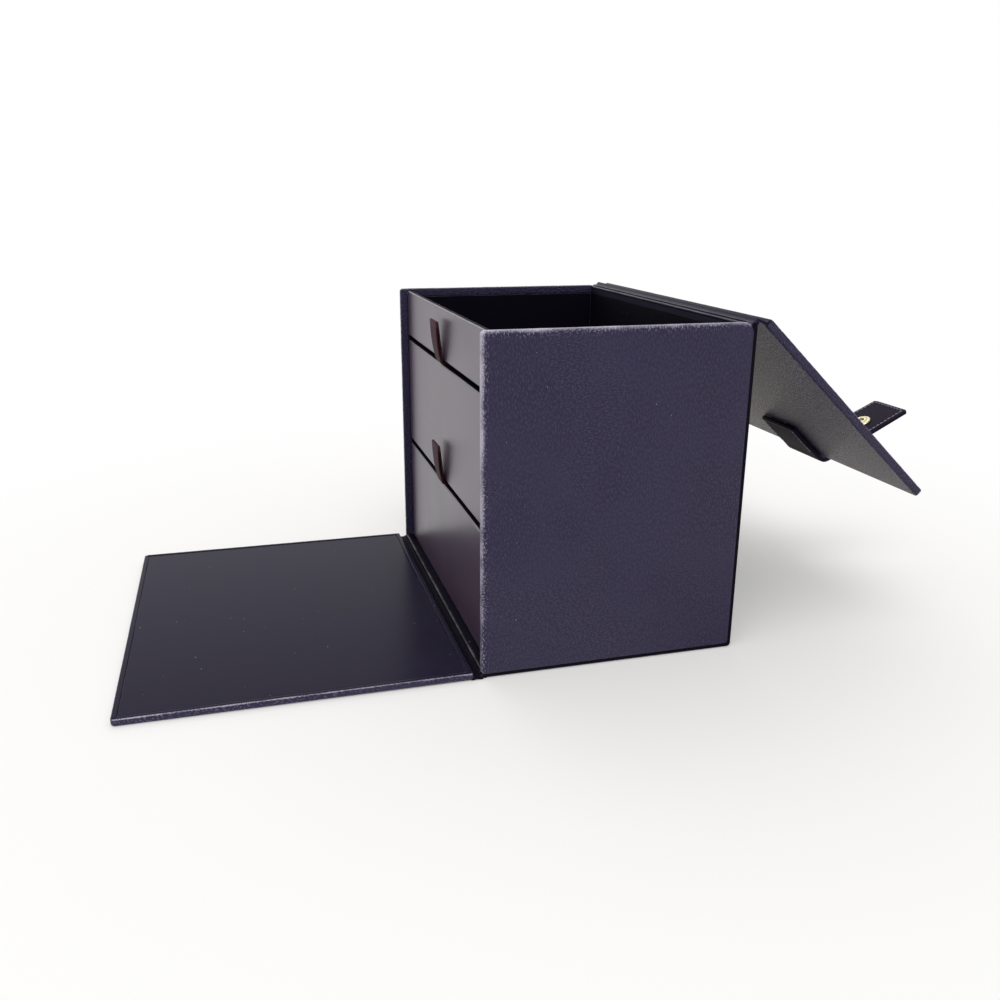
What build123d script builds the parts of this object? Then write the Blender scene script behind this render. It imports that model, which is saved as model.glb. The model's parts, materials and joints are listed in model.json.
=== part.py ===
"""Leather-covered jewellery box with two drawers, shown unfastened: flap down in front, lid hanging open behind.

Millimetres, +Z up. The origin is the centre of the base's underside, X runs across the box and -Y is its front.
"""

import os
from math import atan, cos, degrees, radians, sin

from build123d import *

# Overall sizes of the box
case_width = 220.0  # across the outer faces of the side walls
case_depth = 139.0  # from the front edge to the back edge of a side wall
wall_height = 174.4  # a side wall, standing on the base

# Sheet materials
leather = 0.8
lining = 0.5
case_board = 2.4  # greyboard in the base, back board and flap
lid_board = 2.9
wall_board = 2.6
strip_card = 0.6  # card in the narrow strip between back board and lid
drawer_board = 2.0
inner_back_board = 2.4
shelf_board = 2.2
satin = 0.6  # cover of the drawer fronts and the compartment front
front_thickness = 3.0  # a drawer front with its cover

# How the sheets are folded and finished
board_overhang = 0.6  # the case stands out past each side wall
case_turn_in = 2.6  # leather rim round the linings of flap, lid and back board
wall_turn_in = 5.0  # leather rim round the linings of the side walls
lining_gap = 0.3  # groove between a lining and its rim
outer_round = 1.2  # padded edges
rim_round = 0.3
case_corner = 2.2  # free corners of flap and lid
wall_corner = 2.0
wall_back_corner = 5.5  # upper back corner of a side wall
front_edge_round = 0.5

# Clearances
running = 0.3  # between pieces that move past each other
drawer_side_gap = 0.5
lid_gap = 0.3  # closed lid over the side walls
flap_drop = 1.7  # top of the closed flap below the side walls

# Hinges
hinge_bead = 0.8  # radius of the rolled leather on the flap's hinge line
hinge_lift = 0.1  # flap hinge off the table
crease_bead = 0.6  # radius of the rolled leather on a crease of the lid's hinge
lid_hinge_rise = 0.9  # lower crease of the lid, above the top of the side walls
strip_open_angle = -25.0  # strip below the horizontal, lid open
lid_open_angle = -43.0  # lid below the horizontal, lid open

# Drawers and compartment
front_recess = 5.0  # fronts behind the front edges of the side walls
front_top_drop = 1.3  # top of the compartment front below the side walls
compartment_front_height = 29.2
compartment_gap = 3.3  # between the compartment front and the middle drawer
drawer_gap = 3.7  # between the two drawer fronts
bottom_front_low = 0.5  # bottom drawer front over the base
shelf_set_back = 3.5  # shelf between the drawers, behind the drawer fronts
upper_shelf_set_back = 2.3  # shelf that the compartment front stands on
drawer_side_drop = 0.8  # drawer sides below the top of their front
inner_back_drop = 1.0  # inner back board below the side walls

# Pull tabs
tab_width = 17.0
tab_height = 23.0
tab_thickness = 1.2
tab_lean = 8.0  # degrees out of the vertical
tab_corner = 1.6
tab_root_depth = 8.0  # glued into the drawer front
tab_stand_off = 1.0  # fold line in front of the drawer front
tab_slot_set_back = 0.9  # slot behind the face of the front

# Closing strap and snap
strap_width = 38.0  # at the lid
strap_tip_width = 33.0
strap_thickness = 2.6
strap_root_length = 30.0
strap_fold_set_back = 1.0  # fold line behind the lid's free edge
strap_fold_height = 1.4  # fold line over the lid's outer face
strap_nose = 1.1  # rolled end of the root, radius
strap_bend = 4.9  # middle of the strap round the lid's edge
strap_reach = 69.6  # fold line to tip, strap closed
strap_start_angle = 19.0  # where the bend leaves the fold line
strap_tilt = 21.0  # degrees short of closed
strap_corner = 1.5
strap_to_flap = 1.2  # closed strap in front of the closed flap
snap_drop = 44.9  # fold line to snap, strap closed
socket_radius = 6.5
socket_height = 2.2
socket_bore = 2.4
socket_barrel = 3.0
barrel_fit = 0.05
socket_round = 0.6
cap_radius = 6.2
cap_height = 0.9
cap_round = 0.5
well_radius = 7.3
well_depth = 1.5
stud_plate = 0.5
stud_radius = 7.0
stud_nub = 2.0
stud_nub_height = 1.4
stud_shank = 1.5
washer_radius = 5.0
washer_height = 0.5
stitch_length = 2.4
stitch_pitch = 3.6
stitch_width = 0.6
stitch_height = 0.3
stitch_inset = 3.0

# Levels and faces worked out from the sizes above
case_panel = 2 * leather + case_board
lid_panel = 2 * leather + lid_board
wall = 2 * leather + wall_board
front = -case_depth / 2
back = case_depth / 2
base_top = case_panel
wall_top = base_top + wall_height
half_width = case_width / 2
inner_half = half_width - wall
board_width = case_width + 2 * board_overhang
inner_back_face = back - inner_back_board
front_face = front + front_recess
front_rear = front_face + front_thickness
drawer_half = inner_half - drawer_side_gap

# Heights of the fronts over the base; the two drawers are equally high
compartment_front_high = wall_height - front_top_drop
compartment_front_low = compartment_front_high - compartment_front_height
middle_front_high = compartment_front_low - compartment_gap
drawer_front_height = (middle_front_high - bottom_front_low - drawer_gap) / 2
bottom_front_high = bottom_front_low + drawer_front_height
middle_front_low = bottom_front_high + drawer_gap
drawer_shelf_low = base_top + bottom_front_high + (drawer_gap - shelf_board) / 2

# Hinge lines
flap_axis_z = hinge_bead + hinge_lift
flap_axis_y = front - running - (case_panel - flap_axis_z)
flap_start = hinge_bead + running
flap_length = wall_top - flap_drop - flap_axis_z - flap_start
back_outer = back + case_panel
lower_axis_y = back_outer - leather / 2
lower_axis_z = wall_top + lid_hinge_rise
back_height = lower_axis_z - crease_bead - running
strip_span = wall_top + lid_gap + lid_panel - leather / 2 - lower_axis_z
strip_inner = leather / 2 + strip_card + lining
upper_axis_y = lower_axis_y + strip_span * cos(radians(strip_open_angle))
upper_axis_z = lower_axis_z + strip_span * sin(radians(strip_open_angle))
lid_start = strip_inner + running
strap_fold = lower_axis_y - flap_axis_y + flap_axis_z + strap_to_flap - (strap_bend - strap_thickness / 2)
lid_end = strap_fold + strap_fold_set_back
stud_reach = wall_top + lid_gap + lid_panel + strap_fold_height - snap_drop - flap_axis_z


def direction(angle):
    """Unit vector in the YZ plane, angle in degrees from +Y towards +Z."""
    return Vector(0, cos(radians(angle)), sin(radians(angle)))


def panel_plane(y, z, angle, turn):
    """Plane whose local y runs along a panel and whose local z points to the panel's inner face."""
    across = (1, 0, 0) if turn > 0 else (-1, 0, 0)
    return Plane(origin=(0, y, z), x_dir=across, z_dir=direction(angle + turn))


def profile_plane(origin, angle):
    """Plane for a section across X: local x at the angle, local y a quarter turn clockwise from it."""
    return Plane(origin=origin, x_dir=direction(angle), z_dir=(-1, 0, 0))


base_plane = Plane.XY
back_plane = panel_plane(back_outer, 0, 90, 90)
flap_plane = panel_plane(flap_axis_y, 0, 180, -90)
strip_plane = panel_plane(lower_axis_y, lower_axis_z, strip_open_angle, 90).offset(-leather / 2)
lid_plane = panel_plane(upper_axis_y, upper_axis_z, lid_open_angle, 90).offset(-leather / 2)
right_wall_plane = Plane(origin=(half_width, 0, base_top), x_dir=(0, -1, 0), z_dir=(-1, 0, 0))


def save(piece, label):
    """Label a finished piece and write its file."""
    piece.part.label = label
    export_step(piece.part, f"parts/{label}.step")


def block(x_low, x_high, y_low, y_high, z_low, z_high, mode=Mode.ADD):
    """Board between two corners, in the part that is being built."""
    with Locations(((x_low + x_high) / 2, (y_low + y_high) / 2, (z_low + z_high) / 2)):
        Box(x_high - x_low, y_high - y_low, z_high - z_low, mode=mode)


def panel_outline(width, start, length, inset, corner):
    """Rectangle along local y, drawn in by inset, with its two far corners rounded."""
    with BuildSketch(mode=Mode.PRIVATE) as face:
        with Locations((0, start + length / 2)):
            Rectangle(width - 2 * inset, length - 2 * inset)
        if corner > inset:
            fillet(face.vertices().group_by(Axis.Y)[-1], corner - inset)
    return face.sketch


def wall_outline(inset):
    """Side wall on local x towards the front and local y up, drawn in by inset."""
    with BuildSketch(mode=Mode.PRIVATE) as face:
        with Locations((0, wall_height / 2)):
            Rectangle(case_depth - 2 * inset, wall_height - 2 * inset)
        upper = face.vertices().group_by(Axis.Y)[-1].sort_by(Axis.X)
        lower = face.vertices().group_by(Axis.Y)[0]
        fillet(upper[0], max(wall_back_corner - inset, leather))
        if wall_corner > inset:
            fillet([upper[1], *lower], wall_corner - inset)
    return face.sketch


def leather_wrap(plane, outline, core, rim, rounded_edges):
    """Leather folded round a board: outer face, edges and a turned-in rim, hollow where core and lining go."""
    normal = Axis(plane.origin, plane.z_dir)
    with BuildPart() as wrap:
        with BuildSketch(plane):
            add(outline(0))
        extrude(amount=2 * leather + core)
        fillet(rounded_edges(wrap.faces().sort_by(normal)[0]), outer_round)
        fillet(rounded_edges(wrap.faces().sort_by(normal)[-1]), rim_round)
        with BuildSketch(plane.offset(leather)):
            add(outline(leather))
        extrude(amount=core, mode=Mode.SUBTRACT)
        with BuildSketch(plane.offset(leather + core)):
            add(outline(rim))
        extrude(amount=leather, mode=Mode.SUBTRACT)
    return wrap


def board_core(plane, outline, core):
    """Board that fills the hollow of a leather wrap."""
    with BuildPart() as filling:
        with BuildSketch(plane.offset(leather)):
            add(outline(leather))
        extrude(amount=core)
    return filling


def panel_lining(plane, outline, core, rim):
    """Lining glued on the board inside the turned-in rim."""
    with BuildPart() as cover:
        with BuildSketch(plane.offset(leather + core)):
            add(outline(rim + lining_gap))
        extrude(amount=lining)
    return cover


def side_edges(plane):
    """Chooser of the edges that run along a panel."""
    return lambda face: face.edges().filter_by(Axis(plane.origin, plane.y_dir))


def free_edges(plane):
    """Chooser of all edges of a panel's face apart from the one at its hinge."""
    return lambda face: face.edges().sort_by(Axis(plane.origin, plane.y_dir))[1:]


def case_outline(start, length, corner):
    """Outline function of a panel of the wrap-around case."""
    return lambda inset: panel_outline(board_width, start, length, inset, corner)


def make_base():
    """Base under the side walls, which stand on its wide leather rim."""
    outline = case_outline(front, case_depth, 0)
    rim = wall_turn_in + board_overhang
    save(leather_wrap(base_plane, outline, case_board, rim, side_edges(base_plane)), "base_leather")
    save(board_core(base_plane, outline, case_board), "base_core")
    save(panel_lining(base_plane, outline, case_board, rim), "base_lining")


def make_back_board():
    """Back board of the case, glued to the back of the box."""
    outline = case_outline(0, back_height, 0)
    wrap = leather_wrap(back_plane, outline, case_board, case_turn_in, side_edges(back_plane))
    save(wrap, "back_leather")
    save(board_core(back_plane, outline, case_board), "back_core")
    save(panel_lining(back_plane, outline, case_board, case_turn_in), "back_lining")


def make_flap():
    """Front flap, lying open, with a well for the snap stud in its outer face."""
    outline = case_outline(flap_start, flap_length, case_corner)
    wrap = leather_wrap(flap_plane, outline, case_board, case_turn_in, free_edges(flap_plane))
    core = board_core(flap_plane, outline, case_board)
    plate_top = well_depth + stud_plate
    washer_low = leather + case_board - washer_height
    with BuildPart() as flap_leather:
        add(wrap.part)
        with BuildSketch(flap_plane):
            with Locations((0, stud_reach)):
                Circle(well_radius)
        extrude(amount=leather, mode=Mode.SUBTRACT)
    save(flap_leather, "flap_leather")
    with BuildPart() as flap_core:
        add(core.part)
        for low, high, radius in (
            (leather, plate_top, well_radius),
            (plate_top, washer_low, stud_shank),
            (washer_low, washer_low + washer_height, washer_radius),
        ):
            with BuildSketch(flap_plane.offset(low)):
                with Locations((0, stud_reach)):
                    Circle(radius)
            extrude(amount=high - low, mode=Mode.SUBTRACT)
    save(flap_core, "flap_core")
    save(panel_lining(flap_plane, outline, case_board, case_turn_in), "flap_lining")
    with BuildPart() as snap_stud:
        for low, high, radius in (
            (well_depth - stud_nub_height, well_depth, stud_nub),
            (well_depth, plate_top, stud_radius),
            (plate_top, washer_low, stud_shank - barrel_fit),
        ):
            with BuildSketch(flap_plane.offset(low)):
                with Locations((0, stud_reach)):
                    Circle(radius)
            extrude(amount=high - low)
    save(snap_stud, "snap_stud")
    with BuildPart() as stud_washer:
        with BuildSketch(flap_plane.offset(washer_low)):
            with Locations((0, stud_reach)):
                Circle(washer_radius - barrel_fit)
        extrude(amount=washer_height)
    save(stud_washer, "stud_washer")


def make_lid():
    """Lid, hanging open behind the box; a lip of its outer leather reaches to the crease."""
    outline = case_outline(lid_start, lid_end - lid_start, case_corner)
    wrap = leather_wrap(lid_plane, outline, lid_board, case_turn_in, free_edges(lid_plane))
    lip_start = crease_bead + running
    with BuildPart() as lid_leather:
        add(wrap.part)
        with BuildSketch(lid_plane):
            with Locations((0, (lip_start + lid_start) / 2)):
                Rectangle(board_width - 2 * outer_round, lid_start - lip_start)
        extrude(amount=leather)
    save(lid_leather, "lid_leather")
    save(board_core(lid_plane, outline, lid_board), "lid_core")
    save(panel_lining(lid_plane, outline, lid_board, case_turn_in), "lid_lining")


def make_hinge_strip():
    """Narrow strip between the two creases of the lid's hinge."""
    start = crease_bead + running
    length = strip_span - 2 * start
    layers = (("strip_leather", 0, leather), ("strip_core", leather, strip_card))
    layers += (("strip_lining", leather + strip_card, lining),)
    for label, low, thickness in layers:
        with BuildPart() as layer:
            with BuildSketch(strip_plane.offset(low)):
                with Locations((0, start + length / 2)):
                    Rectangle(board_width, length)
            extrude(amount=thickness)
        save(layer, label)


def make_hinges():
    """Rolled leather on the three hinge lines, each with the neck that holds it to its board."""
    neck = leather + lining
    section = Plane.YZ
    with BuildPart() as flap_hinge:
        with BuildSketch(section):
            with Locations((flap_axis_y, flap_axis_z)):
                Circle(hinge_bead)
            with Locations(((flap_axis_y + front) / 2, hinge_lift + neck / 2)):
                Rectangle(front - flap_axis_y, neck)
        extrude(amount=board_width / 2, both=True)
    save(flap_hinge, "flap_hinge_leather")
    with BuildPart() as lower_hinge:
        with BuildSketch(section):
            with Locations((lower_axis_y, lower_axis_z)):
                Circle(crease_bead)
            with Locations((back_outer - neck / 2, (back_height + lower_axis_z) / 2)):
                Rectangle(neck, lower_axis_z - back_height)
        extrude(amount=board_width / 2, both=True)
    save(lower_hinge, "lid_hinge_lower")
    with BuildPart() as upper_hinge:
        with BuildSketch(profile_plane((0, upper_axis_y, upper_axis_z), strip_open_angle)):
            Circle(crease_bead)
            with Locations((-(crease_bead + running) / 2, leather / 2 - neck / 2)):
                Rectangle(crease_bead + running, neck)
        extrude(amount=board_width / 2, both=True)
    save(upper_hinge, "lid_hinge_upper")


def make_side_walls():
    """Right side wall in three layers, and the left one as its mirror image."""
    loop = lambda face: face.edges()
    layers = {
        "leather": leather_wrap(right_wall_plane, wall_outline, wall_board, wall_turn_in, loop),
        "core": board_core(right_wall_plane, wall_outline, wall_board),
        "lining": panel_lining(right_wall_plane, wall_outline, wall_board, wall_turn_in),
    }
    for name, right in layers.items():
        save(right, f"right_wall_{name}")
        with BuildPart() as left:
            add(mirror(right.part, about=Plane.YZ, mode=Mode.PRIVATE))
        save(left, f"left_wall_{name}")


def front_panel(low, high, half):
    """Board with a satin cover over its face and edges, from height low to high over the base."""
    z_low = base_top + low
    z_high = base_top + high
    with BuildPart() as cover:
        block(-half, half, front_face, front_rear, z_low, z_high)
        fillet(cover.faces().sort_by(Axis.Y)[0].edges(), front_edge_round)
        hollow = (front_face + satin, front_rear, z_low + satin, z_high - satin)
        block(satin - half, half - satin, *hollow, mode=Mode.SUBTRACT)
    with BuildPart() as core:
        block(satin - half, half - satin, *hollow)
    return cover, core


def make_carcass():
    """Fixed boards between the side walls: inner back, shelves and the front of the top compartment."""
    upper_high = base_top + compartment_front_low
    lining_low = upper_high + lining
    lining_high = wall_top - wall_turn_in
    with BuildPart() as inner_back:
        block(-inner_half, inner_half, inner_back_face, back, base_top, wall_top - inner_back_drop)
    save(inner_back, "inner_back_board")
    with BuildPart() as back_cover:
        block(-inner_half, inner_half, inner_back_face - lining, inner_back_face, lining_low, lining_high)
    save(back_cover, "compartment_back_lining")
    with BuildPart() as lower_shelf:
        shelf_front = front_face + shelf_set_back
        shelf_high = drawer_shelf_low + shelf_board
        block(-inner_half, inner_half, shelf_front, inner_back_face, drawer_shelf_low, shelf_high)
    save(lower_shelf, "drawer_shelf")
    with BuildPart() as upper_shelf:
        shelf_front = front_face + upper_shelf_set_back
        block(-inner_half, inner_half, shelf_front, inner_back_face, upper_high - shelf_board, upper_high)
    save(upper_shelf, "compartment_shelf")
    with BuildPart() as floor_cover:
        block(-inner_half, inner_half, front_rear, inner_back_face, upper_high, lining_low)
    save(floor_cover, "compartment_floor_lining")
    cover, core = front_panel(compartment_front_low, compartment_front_high, inner_half)
    save(cover, "compartment_front_cover")
    save(core, "compartment_front_core")


def make_pull_tab(name, z_high):
    """Leather tab: its root in a slot in the top of a drawer front, and the free part in front of the gap above."""
    axis_y = front_face - tab_stand_off
    axis_z = z_high + tab_thickness / 2
    leg_y = front_face + tab_slot_set_back + tab_thickness / 2
    leg_end = leg_y + tab_thickness / 2
    with BuildPart() as root:
        with BuildSketch(Plane.YZ):
            with Locations((leg_y, z_high - (tab_root_depth - tab_thickness) / 2)):
                Rectangle(tab_thickness, tab_root_depth + tab_thickness)
            with Locations(((axis_y + leg_end) / 2, axis_z)):
                Rectangle(leg_end - axis_y, tab_thickness)
            with Locations((axis_y, axis_z)):
                Circle(tab_thickness / 2)
        extrude(amount=tab_width / 2, both=True)
    save(root, f"{name}_tab_root")
    start = tab_thickness / 2 + running
    with BuildPart() as tab:
        with BuildSketch(panel_plane(axis_y, axis_z, 90 + tab_lean, 90)):
            add(panel_outline(tab_width, start, tab_height - start, 0, tab_corner))
        extrude(amount=tab_thickness / 2, both=True)
    save(tab, f"{name}_tab")


def make_drawer(name, box_low, front_low, front_high):
    """Drawer: covered front, two sides, back, bottom and floor lining, with its pull tab."""
    z_high = base_top + front_high
    side_high = z_high - drawer_side_drop
    rear = inner_back_face - running
    inner = drawer_half - drawer_board
    slot_low = front_face + tab_slot_set_back
    slot = (-tab_width / 2, tab_width / 2, slot_low, slot_low + tab_thickness)
    cover, core = front_panel(front_low, front_high, drawer_half)
    with BuildPart() as front_cover:
        add(cover.part)
        block(*slot, z_high - satin, z_high, mode=Mode.SUBTRACT)
    save(front_cover, f"{name}_front_cover")
    with BuildPart() as front_core:
        add(core.part)
        block(*slot, z_high - tab_root_depth, z_high, mode=Mode.SUBTRACT)
    save(front_core, f"{name}_front_core")
    for side, sign in (("left", -1), ("right", 1)):
        with BuildPart() as board:
            x_low, x_high = sorted((sign * inner, sign * drawer_half))
            block(x_low, x_high, front_rear, rear, box_low, side_high)
        save(board, f"{name}_{side}_side")
    with BuildPart() as back_board:
        block(-inner, inner, rear - drawer_board, rear, box_low, side_high)
    save(back_board, f"{name}_back")
    with BuildPart() as bottom:
        block(-inner, inner, front_rear, rear - drawer_board, box_low, box_low + drawer_board)
    save(bottom, f"{name}_bottom")
    with BuildPart() as floor:
        floor_low = box_low + drawer_board
        edge = inner - lining_gap
        block(-edge, edge, front_rear + lining_gap, rear - drawer_board - lining_gap, floor_low, floor_low + lining)
    save(floor, f"{name}_floor_lining")
    make_pull_tab(name, z_high)


def strap_layer(plane, face_plane, inner_radius, outer_radius):
    """One leather of the strap: round the lid's edge, then straight and narrowing to the tip."""
    start = radians(strap_start_angle)
    from_inner = (inner_radius * sin(start), inner_radius * cos(start) - strap_bend)
    from_outer = (outer_radius * sin(start), outer_radius * cos(start) - strap_bend)
    with BuildPart() as layer:
        with BuildSketch(plane):
            with BuildLine():
                Line(from_inner, from_outer)
                CenterArc((0, -strap_bend), outer_radius, 0, 90 - strap_start_angle)
                Polyline(
                    (outer_radius, -strap_bend),
                    (outer_radius, -strap_reach),
                    (inner_radius, -strap_reach),
                    (inner_radius, -strap_bend),
                )
                CenterArc((0, -strap_bend), inner_radius, 0, 90 - strap_start_angle)
            make_face()
        extrude(amount=strap_width / 2, both=True)
        with BuildSketch(face_plane):
            with BuildLine():
                Polyline(
                    (-strap_width / 2, -snap_drop - strap_thickness),
                    (strap_width / 2, -snap_drop - strap_thickness),
                    (strap_tip_width / 2, strap_reach - snap_drop),
                    (-strap_tip_width / 2, strap_reach - snap_drop),
                    close=True,
                )
            make_face()
        extrude(amount=2 * strap_bend, both=True, mode=Mode.INTERSECT)
        tip = layer.faces().sort_by(Axis(plane.origin, plane.y_dir))[0]
        fillet(tip.edges().filter_by(Axis(plane.origin, plane.x_dir)), strap_corner)
    return layer


def stitch_places():
    """Places of the stitches along both sides of the strap and across its tip, measured from the snap."""
    rows = int((strap_reach - strap_bend - 2 * stitch_inset) / stitch_pitch)
    narrowing = (strap_width - strap_tip_width) / 2 / strap_reach
    lean = degrees(atan(narrowing))
    tip_half = strap_tip_width / 2 - stitch_inset
    across = int(2 * tip_half / stitch_pitch)
    tip = strap_reach - stitch_inset
    places = []
    for row in range(rows):
        reach = tip - row * stitch_pitch
        half = strap_width / 2 - stitch_inset - narrowing * reach
        places.append(Location((half, reach - snap_drop), lean))
        places.append(Location((-half, reach - snap_drop), -lean))
    for column in range(1, across):
        places.append(Location((2 * tip_half * column / across - tip_half, tip - snap_drop), 90))
    return places


def make_strap():
    """Closing strap on the lid's outer face, with its stitching and the snap's socket and cap."""
    section = profile_plane(lid_plane.origin, lid_open_angle)
    fold = section.from_local_coords(Vector(strap_fold, strap_fold_height, 0))
    with BuildPart() as root:
        with BuildSketch(section):
            with Locations((strap_fold - strap_root_length / 2, strap_thickness / 2)):
                Rectangle(strap_root_length, strap_thickness)
            with Locations((strap_fold, strap_fold_height)):
                Circle(strap_nose)
        extrude(amount=strap_width / 2, both=True)
    save(root, "strap_root")

    strap_angle = lid_open_angle - strap_tilt
    strap_section = profile_plane(fold, strap_angle)
    inner_face = strap_bend - strap_thickness / 2
    snap_point = strap_section.from_local_coords(Vector(inner_face, -snap_drop, 0))
    snap_plane = Plane(origin=snap_point, x_dir=(1, 0, 0), z_dir=-direction(strap_angle))
    for label, low, high in (
        ("strap_inner", inner_face, strap_bend),
        ("strap_outer", strap_bend, strap_bend + strap_thickness / 2),
    ):
        layer = strap_layer(strap_section, snap_plane, low, high)
        with BuildPart() as pierced:
            add(layer.part)
            with BuildSketch(snap_plane):
                Circle(socket_barrel + barrel_fit)
            extrude(amount=-strap_thickness, mode=Mode.SUBTRACT)
        save(pierced, label)

    with BuildPart() as socket:
        with BuildSketch(snap_plane):
            Circle(socket_radius)
        extrude(amount=socket_height)
        fillet(socket.faces().sort_by(Axis(snap_plane.origin, snap_plane.z_dir))[-1].edges(), socket_round)
        with BuildSketch(snap_plane):
            Circle(socket_barrel)
        extrude(amount=-strap_thickness)
        with BuildSketch(snap_plane.offset(socket_height)):
            Circle(socket_bore)
        extrude(amount=-socket_height - strap_thickness / 2, mode=Mode.SUBTRACT)
    save(socket, "snap_socket")
    with BuildPart() as cap:
        with BuildSketch(snap_plane.offset(-strap_thickness)):
            Circle(cap_radius)
        extrude(amount=-cap_height)
        fillet(cap.faces().sort_by(Axis(snap_plane.origin, snap_plane.z_dir))[0].edges(), cap_round)
    save(cap, "snap_cap")

    with BuildPart() as stitches:
        with BuildSketch(snap_plane):
            with Locations(*stitch_places()):
                Rectangle(stitch_width, stitch_length)
        extrude(amount=stitch_height)
    save(stitches, "strap_stitches")


os.makedirs("parts", exist_ok=True)
make_base()
make_back_board()
make_flap()
make_lid()
make_hinge_strip()
make_hinges()
make_side_walls()
make_carcass()
make_drawer("bottom_drawer", base_top + running, bottom_front_low, bottom_front_high)
make_drawer("middle_drawer", drawer_shelf_low + shelf_board + running, middle_front_low, middle_front_high)
make_strap()
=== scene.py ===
"""Dresses the jewellery box with drawers: leather, satin, linings, folded hinges, tabs, strap and snap."""

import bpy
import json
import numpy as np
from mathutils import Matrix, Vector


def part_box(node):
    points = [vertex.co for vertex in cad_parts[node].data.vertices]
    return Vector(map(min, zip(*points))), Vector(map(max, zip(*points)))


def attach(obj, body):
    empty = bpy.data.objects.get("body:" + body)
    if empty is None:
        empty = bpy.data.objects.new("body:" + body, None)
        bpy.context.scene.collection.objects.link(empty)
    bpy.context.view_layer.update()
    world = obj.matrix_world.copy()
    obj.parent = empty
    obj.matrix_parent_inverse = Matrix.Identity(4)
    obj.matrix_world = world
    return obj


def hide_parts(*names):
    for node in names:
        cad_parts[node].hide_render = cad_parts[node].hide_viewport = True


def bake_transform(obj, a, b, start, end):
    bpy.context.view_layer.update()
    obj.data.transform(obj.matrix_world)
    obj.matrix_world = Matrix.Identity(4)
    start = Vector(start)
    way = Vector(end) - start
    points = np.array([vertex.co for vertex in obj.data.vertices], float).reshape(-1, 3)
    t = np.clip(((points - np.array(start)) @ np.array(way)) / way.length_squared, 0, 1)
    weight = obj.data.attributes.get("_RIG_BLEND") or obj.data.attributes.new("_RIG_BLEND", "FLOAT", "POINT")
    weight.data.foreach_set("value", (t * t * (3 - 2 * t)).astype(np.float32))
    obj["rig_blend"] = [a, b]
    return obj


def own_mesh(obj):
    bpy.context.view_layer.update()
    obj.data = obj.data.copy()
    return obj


bl_info = {
    "name": "Jewellery Box with Drawers",
    "version": (1, 0, 0),
    "blender": (4, 5, 0),
    "location": "View3D > Sidebar > Jewellery Box",
    "description": "Builds the leather, lining, strap and metal of a jewellery box over its solid frame",
    "category": "Object",
}

import json
import math
from collections import namedtuple
from functools import partial

import bmesh
import bpy
from bpy.props import FloatProperty, FloatVectorProperty, PointerProperty
from mathutils import Matrix, Vector, noise

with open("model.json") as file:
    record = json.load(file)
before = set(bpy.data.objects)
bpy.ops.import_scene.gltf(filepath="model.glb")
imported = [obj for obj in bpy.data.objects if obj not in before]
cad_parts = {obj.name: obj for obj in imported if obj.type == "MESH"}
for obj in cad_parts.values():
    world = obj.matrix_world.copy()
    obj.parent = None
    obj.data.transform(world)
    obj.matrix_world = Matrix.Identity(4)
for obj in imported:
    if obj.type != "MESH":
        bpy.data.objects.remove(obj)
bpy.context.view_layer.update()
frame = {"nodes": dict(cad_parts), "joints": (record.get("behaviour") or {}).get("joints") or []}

MM = 0.001
RIGHT = Vector((1, 0, 0))
BACKWARD = Vector((0, 1, 0))
UP = Vector((0, 0, 1))
WHITE = (1, 1, 1)

# Shared by several pieces: ends of a mesh that are closed, corners and edges of sheets, and folds
BOTH_ENDS = (True, True)
NO_END = (False, False)
TIGHT_CORNER = 0.0008
SHEET_CORNER = 0.0012
SHEET_ROUND = 0.00025
SHEET_SWAY = 0.00006
FOLD_STEPS = 150
FOLD_SWAY = 0.00007
CURVE_PARTS = 4
LID_WEAR = 0.3

Station = namedtuple("Station", "inset depth reach wear out rise")


def joint_place(name):
    """Y and Z of a hinge line, in metres."""
    joint = next(j for j in frame["joints"] if j["name"] == name)
    return Vector((0, joint["pos_m"][1], joint["pos_m"][2]))


def turned(degrees):
    """Unit vector in the YZ plane, counted from +Y towards +Z."""
    return Vector((0, math.cos(math.radians(degrees)), math.sin(math.radians(degrees))))


LOWER_CREASE = joint_place("strip_hinge")
UPPER_CREASE = joint_place("lid_hinge")
FLAP_LINE = joint_place("flap_hinge")
STRAP_LINE = joint_place("strap_fold")


def length_property(label, text, metres):
    """A length that the user can change."""
    return FloatProperty(name=label, description=text, default=metres, unit="LENGTH")


def colour_property(label, text, colour):
    """A colour that the user can change."""
    return FloatVectorProperty(
        name=label, description=text, subtype="COLOR", size=3, min=0, max=1, default=colour
    )


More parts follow.
